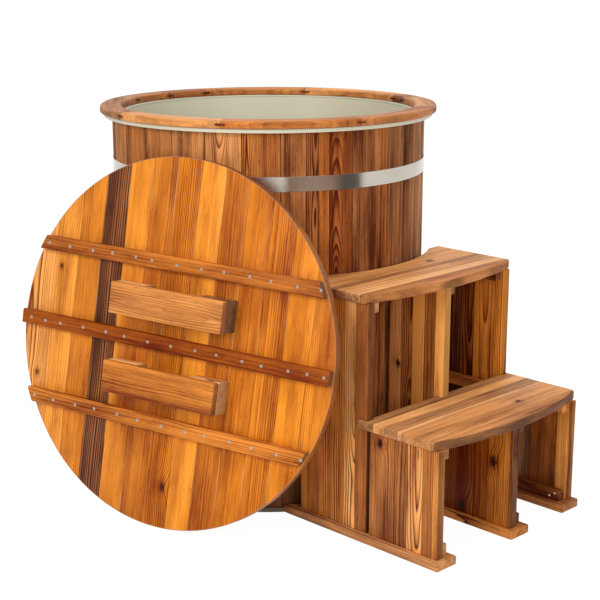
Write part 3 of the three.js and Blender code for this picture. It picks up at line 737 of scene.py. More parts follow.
def speckled(name, dark, pale, pitch, detail, roughness, relief, strength, metallic=0.0):
    """A plain finish whose colour, roughness and relief follow one noise, of a pitch sideways and upward."""
    material, shader, flow = new_material(name)
    x, y, z = flow.here().parts()
    speck = flow.noise(x * pitch[0], y * pitch[0], z * pitch[1], detail)
    shader.inputs["Metallic"].default_value = metallic
    connect(shader, "Base Color", flow.mixed((*dark, 1), (*pale, 1), speck))
    connect(shader, "Roughness", roughness + speck * 0.2)
    connect(shader, "Normal", bump(flow, speck, relief, strength))
    return material


# The base's dark brown is partly painted shade, for the shadow it sits in between the lid and the steps.
def base_plastic():
    dark = (0.062, 0.036, 0.020)
    pale = (0.118, 0.078, 0.047)
    return speckled("base_plastic_looks", dark, pale, (30.0, 160.0), 4.0, 0.45, 0.0003, 0.5)


def plated_brass():
    dark = (0.42, 0.36, 0.24)
    pale = (0.62, 0.56, 0.42)
    return speckled("valve_brass_looks", dark, pale, (260.0, 260.0), 3.0, 0.26, 0.0001, 0.4, metallic=1.0)


def grip_vinyl():
    dark = (0.010, 0.010, 0.011)
    pale = (0.030, 0.030, 0.032)
    return speckled("grip_vinyl_looks", dark, pale, (900.0, 900.0), 2.0, 0.45, 0.0001, 0.5)


# Rim ring: arc boards, each from an azimuth in degrees, butted end to end over a dark loose tongue
RIM_BOARDS = (
    (-112, (0.38, 0.16, 0.13)),
    (-56, (0.57, 0.42, 0.31)),
    (-15, (0.355, 0.62, 0.92)),
    (30, (0.38, 0.34, 0.78)),
    (75, (0.46, 0.22, 0.17)),
    (109, (0.26, 0.30, 0.66)),
    (117, (0.58, 0.44, 0.22)),
    (164, (0.40, 0.46, 0.08)),
    (208, (0.275, 0.36, 0.83)),
    (226, (0.42, 0.32, 0.27)),
)
RIM_LINES = 0.2
JOINT_TONGUE_REACH = (0.014, 0.0154)
JOINT_TONGUE_RISE = (0.0032, 0.00416)
JOINT_TONGUE_LIGHT = 0.25


def rim_larch():
    """Larch whose boards follow the ring, each by its own azimuth."""
    material, shader, flow = new_material("rim_wood_looks")
    bottom, top = [corner[2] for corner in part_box("rim_ring")]
    x, y, z = flow.here().parts()
    radius = (x * x + y * y).math("SQRT")
    azimuth = x.math("ARCTAN2", y * -1.0)
    first = RIM_BOARDS[0][0]
    turn = ((azimuth - math.radians(first)) / (2 * math.pi)).fract()
    starts = [(azimuth_start - first) / 360 for azimuth_start, _ in RIM_BOARDS]
    ends = starts[1:] + [1.0]
    tones = [(start, tone) for start, (_, tone) in zip(starts, RIM_BOARDS)]
    spans = [(start, ((start + end) / 2, (end - start) / 2, 0.0)) for start, end in zip(starts, ends)]
    light, warm, seed = flow.ramp(turn, tones, held=True).parts()
    middle, half, _ = flow.ramp(turn, spans, held=True).parts()
    offset = (turn - middle) * (2 * math.pi)
    along = radius * offset.math("SINE")
    across = radius * offset.math("COSINE") - TUB_RADIUS * MM
    joint = radius * (half * (2 * math.pi) - offset.math("ABSOLUTE"))
    beyond = joint.smooth(*JOINT_TONGUE_REACH)
    above = (z - (bottom + top) / 2).math("ABSOLUTE").smooth(*JOINT_TONGUE_RISE)
    outside = beyond.math("MAXIMUM", above)
    light = light * (JOINT_TONGUE_LIGHT + outside * (1 - JOINT_TONGUE_LIGHT))
    place = (along, across, z - top)
    tone = (light, warm, seed, RIM_LINES)
    wood_rings(shader, flow, place, tone, joint, ring=0.006, sheen=0.12, contrast=0.9, veins=0.3)
    return material


# Staves, bands, liner, rim and base. A stave's strips are rows of (start across the stave, tone)
ROUND_MIDDLE = 0.3
TONGUE_TAPER = 1.0
STAVE_STEPS = 9
KIND_STRIDE = 5
SEED_STEP = 0.381966
DRILL_INSIDE = 10.0
DRILL_OUTSIDE = 20.0
SMALL_STEPS = 32
BASE_CHAMFER = 1.0
BASE_ROUND = 3.0
WALL_CHAMFER = 2.0
LIP_CHAMFER = 1.0
FLANGE_ROUND = 4.0
BAND_EDGE = 0.4
BOLT_OUT = 14.0
BOLT_RADIUS = 3.0
BOLT_TIP = 2.6
BOLT_POINT = 1.0
BOLT_TAIL = 7.0
BOLT_FLATS = 10.0
BOLT_HEAD = 4.0
BOLT_NUT = 5.0
BOLT_EDGE = 0.6
BOLT_STEPS = 20
EDGE = -50.0
STAVE_STRIPS = {
    22: ((EDGE, (0.51, 0.26, 0.95, 0.3)), (0, (0.43, 0.28, 0.12, 0.3))),
    23: ((EDGE, (0.335, 0.40, 0.79, 0.3)),),
    24: ((EDGE, (0.375, 0.36, 0.20, 0.3)), (8, (0.39, 0.38, 0.57, 0.9))),
    25: ((EDGE, (0.375, 0.24, 0.30, 0.4)), (-12, (0.43, 0.34, 0.68, 0.6))),
    26: ((EDGE, (0.46, 0.30, 0.47, 0.9)),),
    27: ((EDGE, (0.30, 0.50, 0.49, 1.6)), (-18, (0.335, 0.50, 0.35, 0.3))),
    0: ((EDGE, (0.33, 0.32, 0.84, 0.4)), (16, (0.19, 0.36, 0.52, 1.5))),
    1: ((EDGE, (0.27, 0.62, 0.20, 0.2)), (-20, (0.155, 0.52, 0.50, 1.0)), (22, (0.135, 0.50, 0.80, 0.6))),
    2: ((EDGE, (0.265, 0.22, 0.17, 0.4)), (36, (0.245, 0.34, 0.33, 0.5))),
    3: ((EDGE, (0.26, 0.42, 0.24, 0.3)), (-28, (0.325, 0.16, 0.86, 0.5))),
    4: ((EDGE, (0.215, 0.02, 0.71, 0.3)), (-10, (0.32, 0.02, 0.64, 0.4))),
    5: ((EDGE, (0.46, 0.02, 0.27, 0.3)),),
}


def stave_strips(i):
    """Strips of the staves in view, and round the back the same kinds cut from other places in the log."""
    if i in STAVE_STRIPS:
        return STAVE_STRIPS[i]
    kinds = list(STAVE_STRIPS.values())
    strips = []
    for start, (light, warm, seed, lines) in kinds[i * KIND_STRIDE % len(kinds)]:
        strips.append((start, (light, warm, (seed + i * SEED_STEP) % 1.0, lines)))
    return strips


def stave_outline():
    half = STAVE_ANGLE / 2
    inner = TUB_RADIUS - STAVE_THICKNESS
    middle = (TUB_RADIUS + inner) / 2

    def edge(side, radius, out):
        reach = out - GAP / 2
        x = radius * math.cos(half) - reach * math.sin(half)
        y = side * (radius * math.sin(half) + reach * math.cos(half))
        return (x, y)

    def eased(side):
        setback = ROUND_MIDDLE * STAVE_ROUND
        return [edge(side, TUB_RADIUS - STAVE_ROUND, 0), edge(side, TUB_RADIUS - setback, -setback)]

    face = math.degrees(half - STAVE_ROUND / TUB_RADIUS)
    tip = TONGUE_HALF - TONGUE_TAPER
    groove = TONGUE_HALF + GROOVE_SLACK
    bed = groove - TONGUE_TAPER
    depth = TONGUE_LENGTH + GROOVE_SLACK
    corner = inner / math.cos(half)
    outline = eased(-1) + arc((0, 0), TUB_RADIUS, -face, face, STAVE_STEPS) + eased(1)[::-1]
    outline += [edge(1, middle + TONGUE_HALF, 0), edge(1, middle + tip, TONGUE_LENGTH)]
    outline += [edge(1, middle - tip, TONGUE_LENGTH), edge(1, middle - TONGUE_HALF, 0)]
    outline += [edge(1, corner, 0), edge(-1, corner, 0)]
    outline += [edge(-1, middle - groove, 0), edge(-1, middle - bed, -depth)]
    outline += [edge(-1, middle + bed, -depth), edge(-1, middle + groove, 0)]
    return outline


def drilled(form, turn):
    """The form with the drain's round hole cut through it, looking outward at a turn about z."""
    start = LINER_INNER - DRILL_INSIDE
    end = TUB_RADIUS + DRILL_OUTSIDE
    cutter = turned([(0, start), (DRAIN_HOLE, start), (DRAIN_HOLE, end), (0, end)], SMALL_STEPS)
    place = Matrix.Translation((0, 0, DRAIN_HEIGHT)) @ Matrix.Rotation(turn, 4, "Z")
    cutter.transform(place @ Matrix.Rotation(math.pi / 2, 4, "Y"))
    solids = []
    for name, shape in (("undrilled", form), ("drill", cutter)):
        bmesh.ops.recalc_face_normals(shape, faces=shape.faces[:])
        mesh = bpy.data.meshes.new(name)
        shape.to_mesh(mesh)
        shape.free()
        solids.append(put_in_scene(name, mesh))
    cut = solids[0].modifiers.new("hole", "BOOLEAN")
    cut.operation = "DIFFERENCE"
    cut.object = solids[1]
    holed = bmesh.new()
    holed.from_object(solids[0], bpy.context.evaluated_depsgraph_get())
    for solid in solids:
        bpy.data.objects.remove(solid)
    return holed


def build_staves(material):
    low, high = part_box("stave_01")
    slots = {row["node"]: row["material_slot"] for row in frame["record"]["subparts"]}
    for i in range(STAVE_COUNT):
        form = slab(stave_outline(), low[2] / MM, high[2] / MM)
        if i == DRAIN_STAVE:
            form = drilled(form, 0.0)
        place = Matrix.Rotation(FIRST_JOINT + (i + 0.5) * STAVE_ANGLE, 4, "Z")
        node = f"stave_{i + 1:02d}"
        stave = Piece(f"stave_board_{i + 1:02d}")
        stave.add(form, place, STAVE_GRAIN, stave_strips(i), seams=False)
        stave.build("tub", slots[node], material, node)


def build_base(plastic):
    _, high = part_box("base_plate")
    radius = high[0] / MM
    top = high[2] / MM
    profile = [(0, 0), (radius - BASE_CHAMFER, 0), (radius, BASE_CHAMFER)]
    profile += arc((radius - BASE_ROUND, top - BASE_ROUND), BASE_ROUND, 0, 90, 4)
    profile += [(0, top)]
    Piece("base_disc").add(turned(profile, TURN_STEPS)).build("tub", "base_plastic", plastic, "base_plate")


def build_liner(plastic):
    low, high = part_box("liner")
    floor = low[2] / MM
    rim = high[2] / MM
    outer = LINER_INNER + LINER_WALL
    under = rim - LINER_WALL
    lip = LINER_WALL / 2
    lip_inner = FLANGE_RADIUS - LINER_WALL
    well = floor + LINER_WALL
    profile = [(0, floor)]
    profile += arc((outer - LINER_CORNER, floor + LINER_CORNER), LINER_CORNER, -90, 0, 8)
    profile += [(outer, under - WALL_CHAMFER), (outer + WALL_CHAMFER, under)]
    profile += [(lip_inner - LIP_CHAMFER, under), (lip_inner, under - LIP_CHAMFER)]
    profile += arc((FLANGE_RADIUS - lip, rim - FLANGE_LIP + lip), lip, 180, 360, 6)
    profile += arc((FLANGE_RADIUS - FLANGE_ROUND, rim - FLANGE_ROUND), FLANGE_ROUND, 0, 90, 6)
    profile += arc((LINER_INNER + FLANGE_ROUND, rim - FLANGE_ROUND), FLANGE_ROUND, 90, 180, 6)
    profile += arc((LINER_INNER - LINER_CORNER, well + LINER_CORNER), LINER_CORNER, 0, -90, 8)
    profile += [(0, well)]
    shell = drilled(turned(profile, TURN_STEPS), DRAIN_ANGLE)
    Piece("moulded_liner").add(shell).build("tub", "liner_plastic", plastic, "liner")


def build_rim(material):
    low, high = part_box("rim_ring")
    bottom = low[2] / MM
    top = high[2] / MM
    outer = high[0] / MM
    small = RING_ROUND / 2
    profile = arc((outer - small, bottom + small), small, -90, 0, 5)
    profile += arc((outer - RING_ROUND, top - RING_ROUND), RING_ROUND, 0, 90, 7)
    profile += arc((RING_INNER + RING_ROUND, top - RING_ROUND), RING_ROUND, 90, 180, 7)
    profile += arc((RING_INNER + small, bottom + small), small, 180, 270, 5)
    Piece("rim_hoop").add(turned(profile, TURN_STEPS)).build("tub", "rim_wood", material, "rim_ring")


def band_outline():
    inner = TUB_RADIUS + GAP
    outer = inner + BAND_THICKNESS
    face = BAND_EAR_GAP / 2
    back = face + BAND_THICKNESS
    tip = outer + BAND_EAR_LENGTH

    def sweep(radius, y):
        return math.degrees(math.asin(y / radius))

    outline = [(tip, face), (tip, back)]
    outline += arc((0, 0), outer, sweep(outer, back), 360 - sweep(outer, back), TURN_STEPS)
    outline += [(tip, -back), (tip, -face)]
    outline += arc((0, 0), inner, 360 - sweep(inner, face), sweep(inner, face), TURN_STEPS)
    return outline


def build_bands(steel, bolt_steel):
    place = Matrix.Rotation(BAND_CLOSURE, 4, "Z")
    for node, name in (("upper_band", "upper_strap"), ("lower_band", "lower_strap")):
        low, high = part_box(node)
        strap = slab(band_outline(), low[2] / MM, high[2] / MM, BAND_EDGE, 1)
        Piece(name).add(strap, place).build("tub", "band_steel", steel, node)
        for side, share in (("low", 0.25), ("high", 0.75)):
            height = (low[2] + (high[2] - low[2]) * share) / MM
            spot = place @ Matrix.Translation((TUB_RADIUS + BOLT_OUT, 0, height))
            build_bolt(f"{name}_bolt_{side}", spot, bolt_steel)


def build_bolt(name, place, steel):
    """A hexagon bolt and nut that draw a band's two ears together."""
    across = place @ Matrix.Rotation(-math.pi / 2, 4, "X")
    ear = BAND_EAR_GAP / 2 + BAND_THICKNESS
    tip = -ear - BOLT_TAIL
    shank = [(0, tip), (BOLT_TIP, tip), (BOLT_RADIUS, tip + BOLT_POINT), (BOLT_RADIUS, ear), (0, ear)]
    bolt = Piece(name)
    bolt.add(turned(shank, BOLT_STEPS), across)
    bolt.add(slab(hexagon(BOLT_FLATS), ear, ear + BOLT_HEAD, BOLT_EDGE), across)
    bolt.add(slab(hexagon(BOLT_FLATS), -ear - BOLT_NUT, -ear, BOLT_EDGE), across)
    bolt.build("tub", "band_steel", steel)


# Drain at the back: a fitting through liner and stave, a ball valve and its lever
PIPE_BORE = 10.0
PIPE_STEPS = 48
FITTING_SEAT = 411.4
FITTING_FLANGE = 29.0
FITTING_FLANGE_THICKNESS = 4.0
FITTING_FLANGE_ROUND = 3.0
FITTING_TAIL = 23.0
FITTING_TIP = 16.0
THREAD_RADIUS = 16.5
THREAD_ROOT = 15.6
THREAD_PITCH = 1.8
THREAD_TURNS = 6
THREAD_START = 0.5
NUT_FLATS = 43.0
NUT_HEIGHT = 11.0
HEXAGON_EDGE = 1.5
VALVE_FLATS = 38.0
VALVE_END = 13.0
VALVE_NECK = 15.0
VALVE_NECK_GAP = 2.0
VALVE_BELLY = 30.0
BELLY_SWELL = ((17.0, 0.0), (18.6, 8.0), (19.0, 15.0), (18.6, 22.0), (17.0, VALVE_BELLY))
BELLY_SHOULDER = 14.0
BELLY_SHOULDER_GAP = 2.0
SPOUT_LENGTH = 34.0
SPOUT_TIP = 10.8
SPOUT_CHAMFER = 1.0
BARB_COUNT = 3
BARB_PITCH = 8.5
BARB_CREST = 13.0
BARB_ROOT = 11.5
STEM_RADIUS = 9.0
STEM_BOTTOM = 12.0
STEM_TOP = 31.0
GLAND_FLATS = 16.0
GLAND_BOTTOM = 22.0
GLAND_TOP = 29.0
GLAND_EDGE = 0.8
LEVER_THICKNESS = 3.0
LEVER_BOTTOM = STEM_TOP + GAP
LEVER_TOP = LEVER_BOTTOM + LEVER_THICKNESS
LEVER_NUT_HEIGHT = 3.0
LEVER_NUT_TOP = LEVER_TOP + LEVER_NUT_HEIGHT
LEVER_NUT_FLATS = 13.0
LEVER_BOSS = 12.0
LEVER_BOSS_SWEEP = (128, 412)
LEVER_REACH = 70.5
LEVER_HALF = 7.5
LEVER_EDGE = 0.6
GRIP_START = 26.0
GRIP_END = 71.0
GRIP_HALF = 6.6
GRIP_EDGE = 1.2


def build_fitting(pipe, brass):
    """The bulkhead fitting, its flange inside the liner and its nut outside the stave."""
    back = FITTING_SEAT - FITTING_FLANGE_THICKNESS
    nut = TUB_RADIUS + GAP
    nut_end = nut + NUT_HEIGHT
    tail = nut + FITTING_TAIL
    corner = (FITTING_FLANGE - FITTING_FLANGE_ROUND, back + FITTING_FLANGE_ROUND)
    profile = [(PIPE_BORE, back)] + arc(corner, FITTING_FLANGE_ROUND, -90, 0, 4)
    profile += [(FITTING_FLANGE, FITTING_SEAT), (THREAD_RADIUS, FITTING_SEAT), (THREAD_RADIUS, nut_end)]
    for i in range(THREAD_TURNS):
        crest = nut_end + THREAD_START + THREAD_PITCH * i
        profile += [(THREAD_RADIUS, crest), (THREAD_ROOT, crest + THREAD_PITCH / 2)]
    profile += [(FITTING_TIP, tail), (PIPE_BORE, tail)]
    fitting = Piece("bulkhead_fitting")
    fitting.add(turned(profile, PIPE_STEPS), pipe)
    fitting.add(slab(hexagon(NUT_FLATS), nut, nut_end, HEXAGON_EDGE), pipe)
    fitting.build("tub", "valve_brass", brass, "drain_fitting")


def build_valve(pipe, stem, start, brass):
    """The ball valve, with a hexagon at each end of its belly, a barbed spout and the lever's stem."""
    body = start + VALVE_END
    belly = body + VALVE_BELLY
    spout = belly + VALVE_END
    end = spout + SPOUT_LENGTH
    profile = [(0, start), (VALVE_NECK, start), (VALVE_NECK, body - VALVE_NECK_GAP)]
    profile += [(radius, body + along) for radius, along in BELLY_SWELL]
    profile += [(BELLY_SHOULDER, belly + BELLY_SHOULDER_GAP), (BARB_CREST, spout)]
    for i in range(BARB_COUNT):
        step = spout + BARB_PITCH * (i + 1)
        profile += [(BARB_CREST, step), (BARB_ROOT, step)]
    profile += [(BARB_ROOT, end - SPOUT_CHAMFER), (SPOUT_TIP, end)]
    profile += [(PIPE_BORE, end), (PIPE_BORE, spout), (0, spout)]
    valve = Piece("ball_valve")
    valve.add(turned(profile, PIPE_STEPS), pipe)
    valve.add(slab(hexagon(VALVE_FLATS), start, body, HEXAGON_EDGE), pipe)
    valve.add(slab(hexagon(VALVE_FLATS), belly, spout, HEXAGON_EDGE), pipe)
    post = [(0, STEM_BOTTOM), (STEM_RADIUS, STEM_BOTTOM), (STEM_RADIUS, STEM_TOP), (0, STEM_TOP)]
    valve.add(turned(post, SMALL_STEPS), stem)
    valve.add(slab(hexagon(GLAND_FLATS), GLAND_BOTTOM, GLAND_TOP, GLAND_EDGE), stem)
    valve.build("tub", "valve_brass", brass, "drain_valve")


def build_lever(stem, steel, vinyl):
    lever = Piece("valve_lever")
    outline = arc((0, 0), LEVER_BOSS, *LEVER_BOSS_SWEEP, 28) + arc((0, LEVER_REACH), LEVER_HALF, 0, 180, 12)
    lever.add(slab(outline, LEVER_BOTTOM, LEVER_TOP, LEVER_EDGE), stem)
    lever.add(slab(hexagon(LEVER_NUT_FLATS), LEVER_TOP, LEVER_NUT_TOP, LEVER_EDGE), stem)
    lever.build("lever", "lever_steel", steel, "drain_lever")
    grip = Piece("lever_grip")
    outline = arc((0, GRIP_START), GRIP_HALF, 180, 360, 10) + arc((0, GRIP_END), GRIP_HALF, 0, 180, 10)
    grip.add(slab(outline, LEVER_TOP, LEVER_NUT_TOP, GRIP_EDGE, 3), stem)
    grip.build("lever", "lever_steel", vinyl)


def build_drain(brass, steel, vinyl):
    place = Matrix.Translation((0, 0, DRAIN_HEIGHT)) @ Matrix.Rotation(DRAIN_ANGLE, 4, "Z")
    pipe = place @ Matrix.Rotation(math.pi / 2, 4, "Y")
    valve_start = TUB_RADIUS + GAP + FITTING_TAIL + GAP
    stem = place @ Matrix.Translation((valve_start + VALVE_END + VALVE_BELLY / 2, 0, 0))
    build_fitting(pipe, brass)
    build_valve(pipe, stem, valve_start, brass)
    build_lever(stem, steel, vinyl)


# Lid: its boards' tones from the left, and the screws' places along each batten
LID_EDGE = 0.8
BATTEN_EDGE = 3.0
HANDLE_EDGE = 4.0
BLOCK_EDGE = 2.5
SEAT_GAP = 0.1
DISC_END = 0.01
SCREW_STEPS = 12
SCREW_RINGS = (
    ((1.0, 1.0), -0.8),
    ((1.0, 1.0), 0.1),
    ((0.86, 0.86), 0.55),
    ((0.24, 0.34), 0.55),
    ((0.24, 0.34), -0.3),
)
SCREW_SPIN = 2.4
SCREW_WANDER = 2.0
SCREW_WAVE = 5.0
LID_TONES = (
    (0.61, 0.60, 0.42, 0.8),
    (0.57, 0.82, 0.33, 0.4),
    (0.455, 0.94, 0.84, 0.2),
    (0.155, 0.10, 0.69, 1.8),
    (0.475, 0.92, 0.90, 0.2),
    (0.38, 0.92, 0.24, 0.3),
    (0.345, 1.00, 0.14, 0.6),
    (0.55, 0.94, 0.72, 0.12),
    (0.355, 0.94, 0.78, 0.3),
    (0.395, 1.00, 0.87, 0.25),
    (0.38, 0.98, 0.17, 0.4),
    (0.48, 1.00, 0.29, 0.20),
    (0.405, 0.94, 0.57, 0.4),
)
LID_KNOTS = {0: (-155, -440, 7.0), 1: (155, -388, 5.0), 6: (-385, 20, 11.0)}
BATTEN_ROWS = (
    ("top", 215.0, (0.31, 0.76, 0.21, 0.3),
     (-420, -348, -269, -203, -125, -72, 8, 86, 155, 233, 296, 374, 441)),
    ("middle", 0.0, (0.18, 1.00, 0.86, 0.3),
     (-459, -409, -356, -276, -199, -137, -59, 16, 93, 159, 238, 296, 375, 430, 478)),
    ("bottom", -215.0, (0.38, 0.78, 0.345, 0.6),
     (-423, -355, -278, -212, -134, -66, 12, 89, 149, 227, 294, 370, 441)),
)
HANDLES = (("upper", 1, (0.455, 0.50, 0.47, 0.55)), ("lower", -1, (0.39, 0.72, 0.20, 0.4)))
# The left blocks' high lightness is painted light, for their tops lit from above.
BLOCK_TONES = {
    ("upper", "left"): (0.735, 0.28, 0.40, 0.5),
    ("upper", "right"): (0.31, 0.00, 0.37, 0.9),
    ("lower", "left"): (0.87, 0.40, 0.31, 0.5),
    ("lower", "right"): (0.74, 0.26, 0.28, 0.9),
}


def strip_of_disc(left, right, radius):
    """Outline of the disc between two upright lines, from its lower left corner round."""
    left = max(left, -radius + DISC_END)
    right = min(right, radius - DISC_END)
    start = math.degrees(math.acos(left / radius))
    end = math.degrees(math.acos(right / radius))
    steps = max(3, round(abs(start - end) / 2))
    lower = arc((0, 0), radius, -start, -end, steps)
    upper = arc((0, 0), radius, end, start, steps)
    return lower + upper


def screw(radius):
    """A flat screw head with a six-lobed recess."""
    form = bmesh.new()
    rows = []
    for shares, height in SCREW_RINGS:
        row = []
        for i in range(SCREW_STEPS):
            reach = radius * shares[i % 2]
            turn = 2 * math.pi * i / SCREW_STEPS
            row.append(form.verts.new((reach * math.cos(turn), reach * math.sin(turn), height)))
        rows.append(row)
    for near, far in zip(rows, rows[1:]):
        for i in range(SCREW_STEPS):
            j = (i + 1) % SCREW_STEPS
            form.faces.new((near[i], near[j], far[j], far[i]))
    form.faces.new(rows[0][::-1])
    form.faces.new(rows[-1])
    return form


def build_lid_boards(wood):
    lid = Piece("lid_boards")
    joints = [LID_FIRST_JOINT + i * LID_BOARD_WIDTH for i in range(len(LID_TONES) - 1)]
    lefts = [-LID_RADIUS] + [joint + GAP / 2 for joint in joints]
    rights = [joint - GAP / 2 for joint in joints] + [LID_RADIUS]
    for i, (left, right, tone) in enumerate(zip(lefts, rights, LID_TONES)):
        form = slab(strip_of_disc(left, right, LID_RADIUS), -LID_THICKNESS, 0, LID_EDGE)
        lid.add(form, LID, ALONG_Y, ((left, tone, LID_KNOTS.get(i, NO_KNOT)),))
    lid.build("lid", "lid_wood", wood, "lid_panel")


def batten_outline(height, reach):
    """A straight batten whose ends follow the lid's circle."""
    start = math.degrees(math.asin((height - BATTEN_WIDTH / 2) / reach))
    end = math.degrees(math.asin((height + BATTEN_WIDTH / 2) / reach))
    right = arc((0, 0), reach, start, end, 5)
    left = [(-x, y) for x, y in right[::-1]]
    return right + left


def build_battens(wood, steel):
    low = GAP
    high = GAP + BATTEN_THICKNESS
    for name, height, tone, screws in BATTEN_ROWS:
        outline = batten_outline(height, LID_RADIUS - BATTEN_INSET)
        batten = Piece(f"batten_{name}")
        batten.add(slab(outline, low, high, BATTEN_EDGE, 3), LID, ALONG_X, ((0, tone),), seams=False)
        batten.build("lid", "batten_wood", wood, f"lid_batten_{name}")
        heads = Piece(f"batten_screws_{name}")
        for i, x in enumerate(screws):
            spin = Matrix.Rotation(i * SCREW_SPIN, 4, "Z")
            wander = SCREW_WANDER * math.sin(i * SCREW_WAVE)
            spot = Matrix.Translation((x, height + wander, high))
            heads.add(screw(SCREW_RADIUS), LID @ spot @ spin)
        heads.build("lid", "band_steel", steel)


def build_handle(name, height, tone, wood):
    left = HANDLE_SHIFT - HANDLE_LENGTH / 2
    right = HANDLE_SHIFT + HANDLE_LENGTH / 2
    low = height - HANDLE_WIDTH / 2
    high = height + HANDLE_WIDTH / 2
    under = GAP + HANDLE_BLOCK
    bar = Piece(f"handle_bar_{name}")
    form = box((left, low, under), (right, high, under + HANDLE_BAR), HANDLE_EDGE, 3)
    bar.add(form, LID, ALONG_X, ((0, tone),), seams=False)
    bar.build("lid", "handle_wood", wood, f"lid_handle_{name}")
    for side, start in (("left", left), ("right", right - HANDLE_BLOCK_LENGTH)):
        block = Piece(f"handle_block_{name}_{side}")
        form = box((start, low, GAP), (start + HANDLE_BLOCK_LENGTH, high, under - SEAT_GAP), BLOCK_EDGE)
        block.add(form, LID, ALONG_X, ((0, BLOCK_TONES[name, side]),), seams=False)
        block.build("lid", "handle_wood", wood)


def build_lid(panel_wood, batten_wood, handle_wood, steel):
    build_lid_boards(panel_wood)
    build_battens(batten_wood, steel)
    for name, side, tone in HANDLES:
        build_handle(name, side * HANDLE_HEIGHT, tone, handle_wood)


# Steps: each frame's name, place across, side of its cleats, shift outward and rear end
FRAMES = (
    ("left", -FRAME_HALF, 1, 0.0, TALL_REAR),
    ("middle", MIDDLE_LEFT, 1, MIDDLE_SHIFT, MIDDLE_REAR),
    ("right", FRAME_HALF - PANEL_THICKNESS, -1, 0.0, TALL_REAR),
)
TREAD_BOARDS = {
    "upper": (
        (380, (0.67, 0.42, 0.30, 0.3)),
        (480, (0.63, 0.38, 0.58, 0.5), (127, 497, 9.0)),
        (528, (0.38, 0.18, 0.84, 0.4)),
        (547, (0.55, 0.26, 0.22, 0.4)),
        (594, (0.67, 0.22, 0.81, 0.2)),
        (632, (0.43, 0.36, 0.43, 0.1)),
    ),
    "lower": (
        (620, (0.555, 0.20, 0.18, 0.3)),
        (680, (0.76, 0.40, 0.29, 0.2)),
        (719, (0.53, 0.18, 0.75, 0.3)),
        (761, (0.68, 0.22, 0.22, 0.2)),
        (777, (0.53, 0.32, 0.64, 0.5), (113, 827, 7.0)),
        (872, (0.465, 0.30, 0.57, 0.1)),
    ),
}
# Panel tones are set to how bright each board shows, so inside the steps they carry painted light and shade:
# the middle panel's boards lighter, the right panel's rear boards darker.
TALL_BOARDS = {
    "left": (
        (400, (0.515, 0.72, 0.36, 0.8)),
        (570, (0.755, 0.46, 0.55, 1.1)),
        (610, (0.305, 0.46, 0.87, 0.2)),
    ),
    "middle": (
        (400, (0.87, 0.42, 0.32, 0.6), (397, 500, 9.0)),
        (511, (0.475, 0.52, 0.54, 1.4)),
        (550, (0.755, 0.66, 0.13, 0.2)),
        (593, (0.375, 0.52, 0.76, 0.4)),
        (630, (0.77, 0.62, 0.91, 0.2)),
    ),
    "right": (
        (400, (0.195, 0.10, 0.24, 0.9)),
        (510, (0.175, 0.50, 0.52, 1.4)),
        (550, (0.53, 0.82, 0.46, 0.8)),
    ),
}
SHORT_BOARDS = {
    "left": (
        (655, (0.36, 0.40, 0.28, 0.4), (285, 697, 10.0)),
        (747, (0.30, 0.32, 0.77, 0.5)),
        (790, (0.655, 0.46, 0.53, 0.8)),
        (840, (0.32, 0.46, 0.12, 0.4)),
        (873, (0.515, 0.56, 0.84, 0.4)),
    ),
    "middle": (
        (655, (0.24, 0.98, 0.16, 0.6), (45, 738, 13.0)),
        (820, (0.475, 0.86, 0.32, 0.6), (198, 838, 13.0)),
        (871, (0.475, 0.76, 0.56, 0.8)),
        (893, (0.305, 0.28, 0.93, 0.4)),
    ),
    "right": (
        (655, (0.485, 0.10, 0.22, 0.8)),
        (760, (0.25, 0.54, 0.72, 0.7)),
        (850, (0.595, 0.64, 0.84, 0.8)),
    ),
}
RAIL_TONES = {
    "left": (0.53, 0.26, 0.30, 1.2),
    "middle": (0.455, 0.58, 0.58, 1.2),
    "right": (0.365, 0.36, 0.72, 1.2),
}
# Cleat tones are set to how bright each cleat shows; the darkest, inside the steps under the treads, are
# partly painted shade.
CLEAT_TONES = {
    "left": ((0.68, 0.16, 0.37, 0.5), (0.44, 0.30, 0.24, 0.5), (0.55, 0.18, 0.81, 0.5)),
    "middle": ((0.12, 0.50, 0.68, 0.5), (0.18, 0.20, 0.85, 0.5), (0.40, 0.20, 0.22, 0.5)),
    "right": ((0.205, 0.48, 0.79, 0.5), (0.50, 0.62, 0.14, 0.5), (0.22, 0.36, 0.93, 0.5)),
}
UPPER_TREAD_WEAR = 0.22
LOWER_TREAD_WEAR = 0.75
TREAD_STEPS = 40
TREAD_EDGE = 4.0
PANEL_EDGE = 2.0
CLEAT_EDGE = 2.5
HOLLOW_STEPS = 8


def bow_front(front):
    sweep = math.degrees(math.asin(BOW_HALF / BOW_RADIUS))
    bow = arc((front + TREAD_BOW - BOW_RADIUS, 0), BOW_RADIUS, -sweep, sweep, TREAD_STEPS)
    corner = TREAD_CORNER * ROUND_MIDDLE
    left = [(front - TREAD_CORNER, -TREAD_HALF), (front - corner, -TREAD_HALF + corner)]
    return left + bow + [(x, -y) for x, y in left[::-1]]


def upper_tread_outline():
    sweep = math.degrees(math.asin((TREAD_HALF - TREAD_LUG) / TREAD_ARC))
    hollow = arc((0, 0), TREAD_ARC, sweep, -sweep, TREAD_STEPS)
    rear = hollow[0][0]
    return [(rear, -TREAD_HALF)] + bow_front(UPPER_TREAD_FRONT) + [(rear, TREAD_HALF)] + hollow


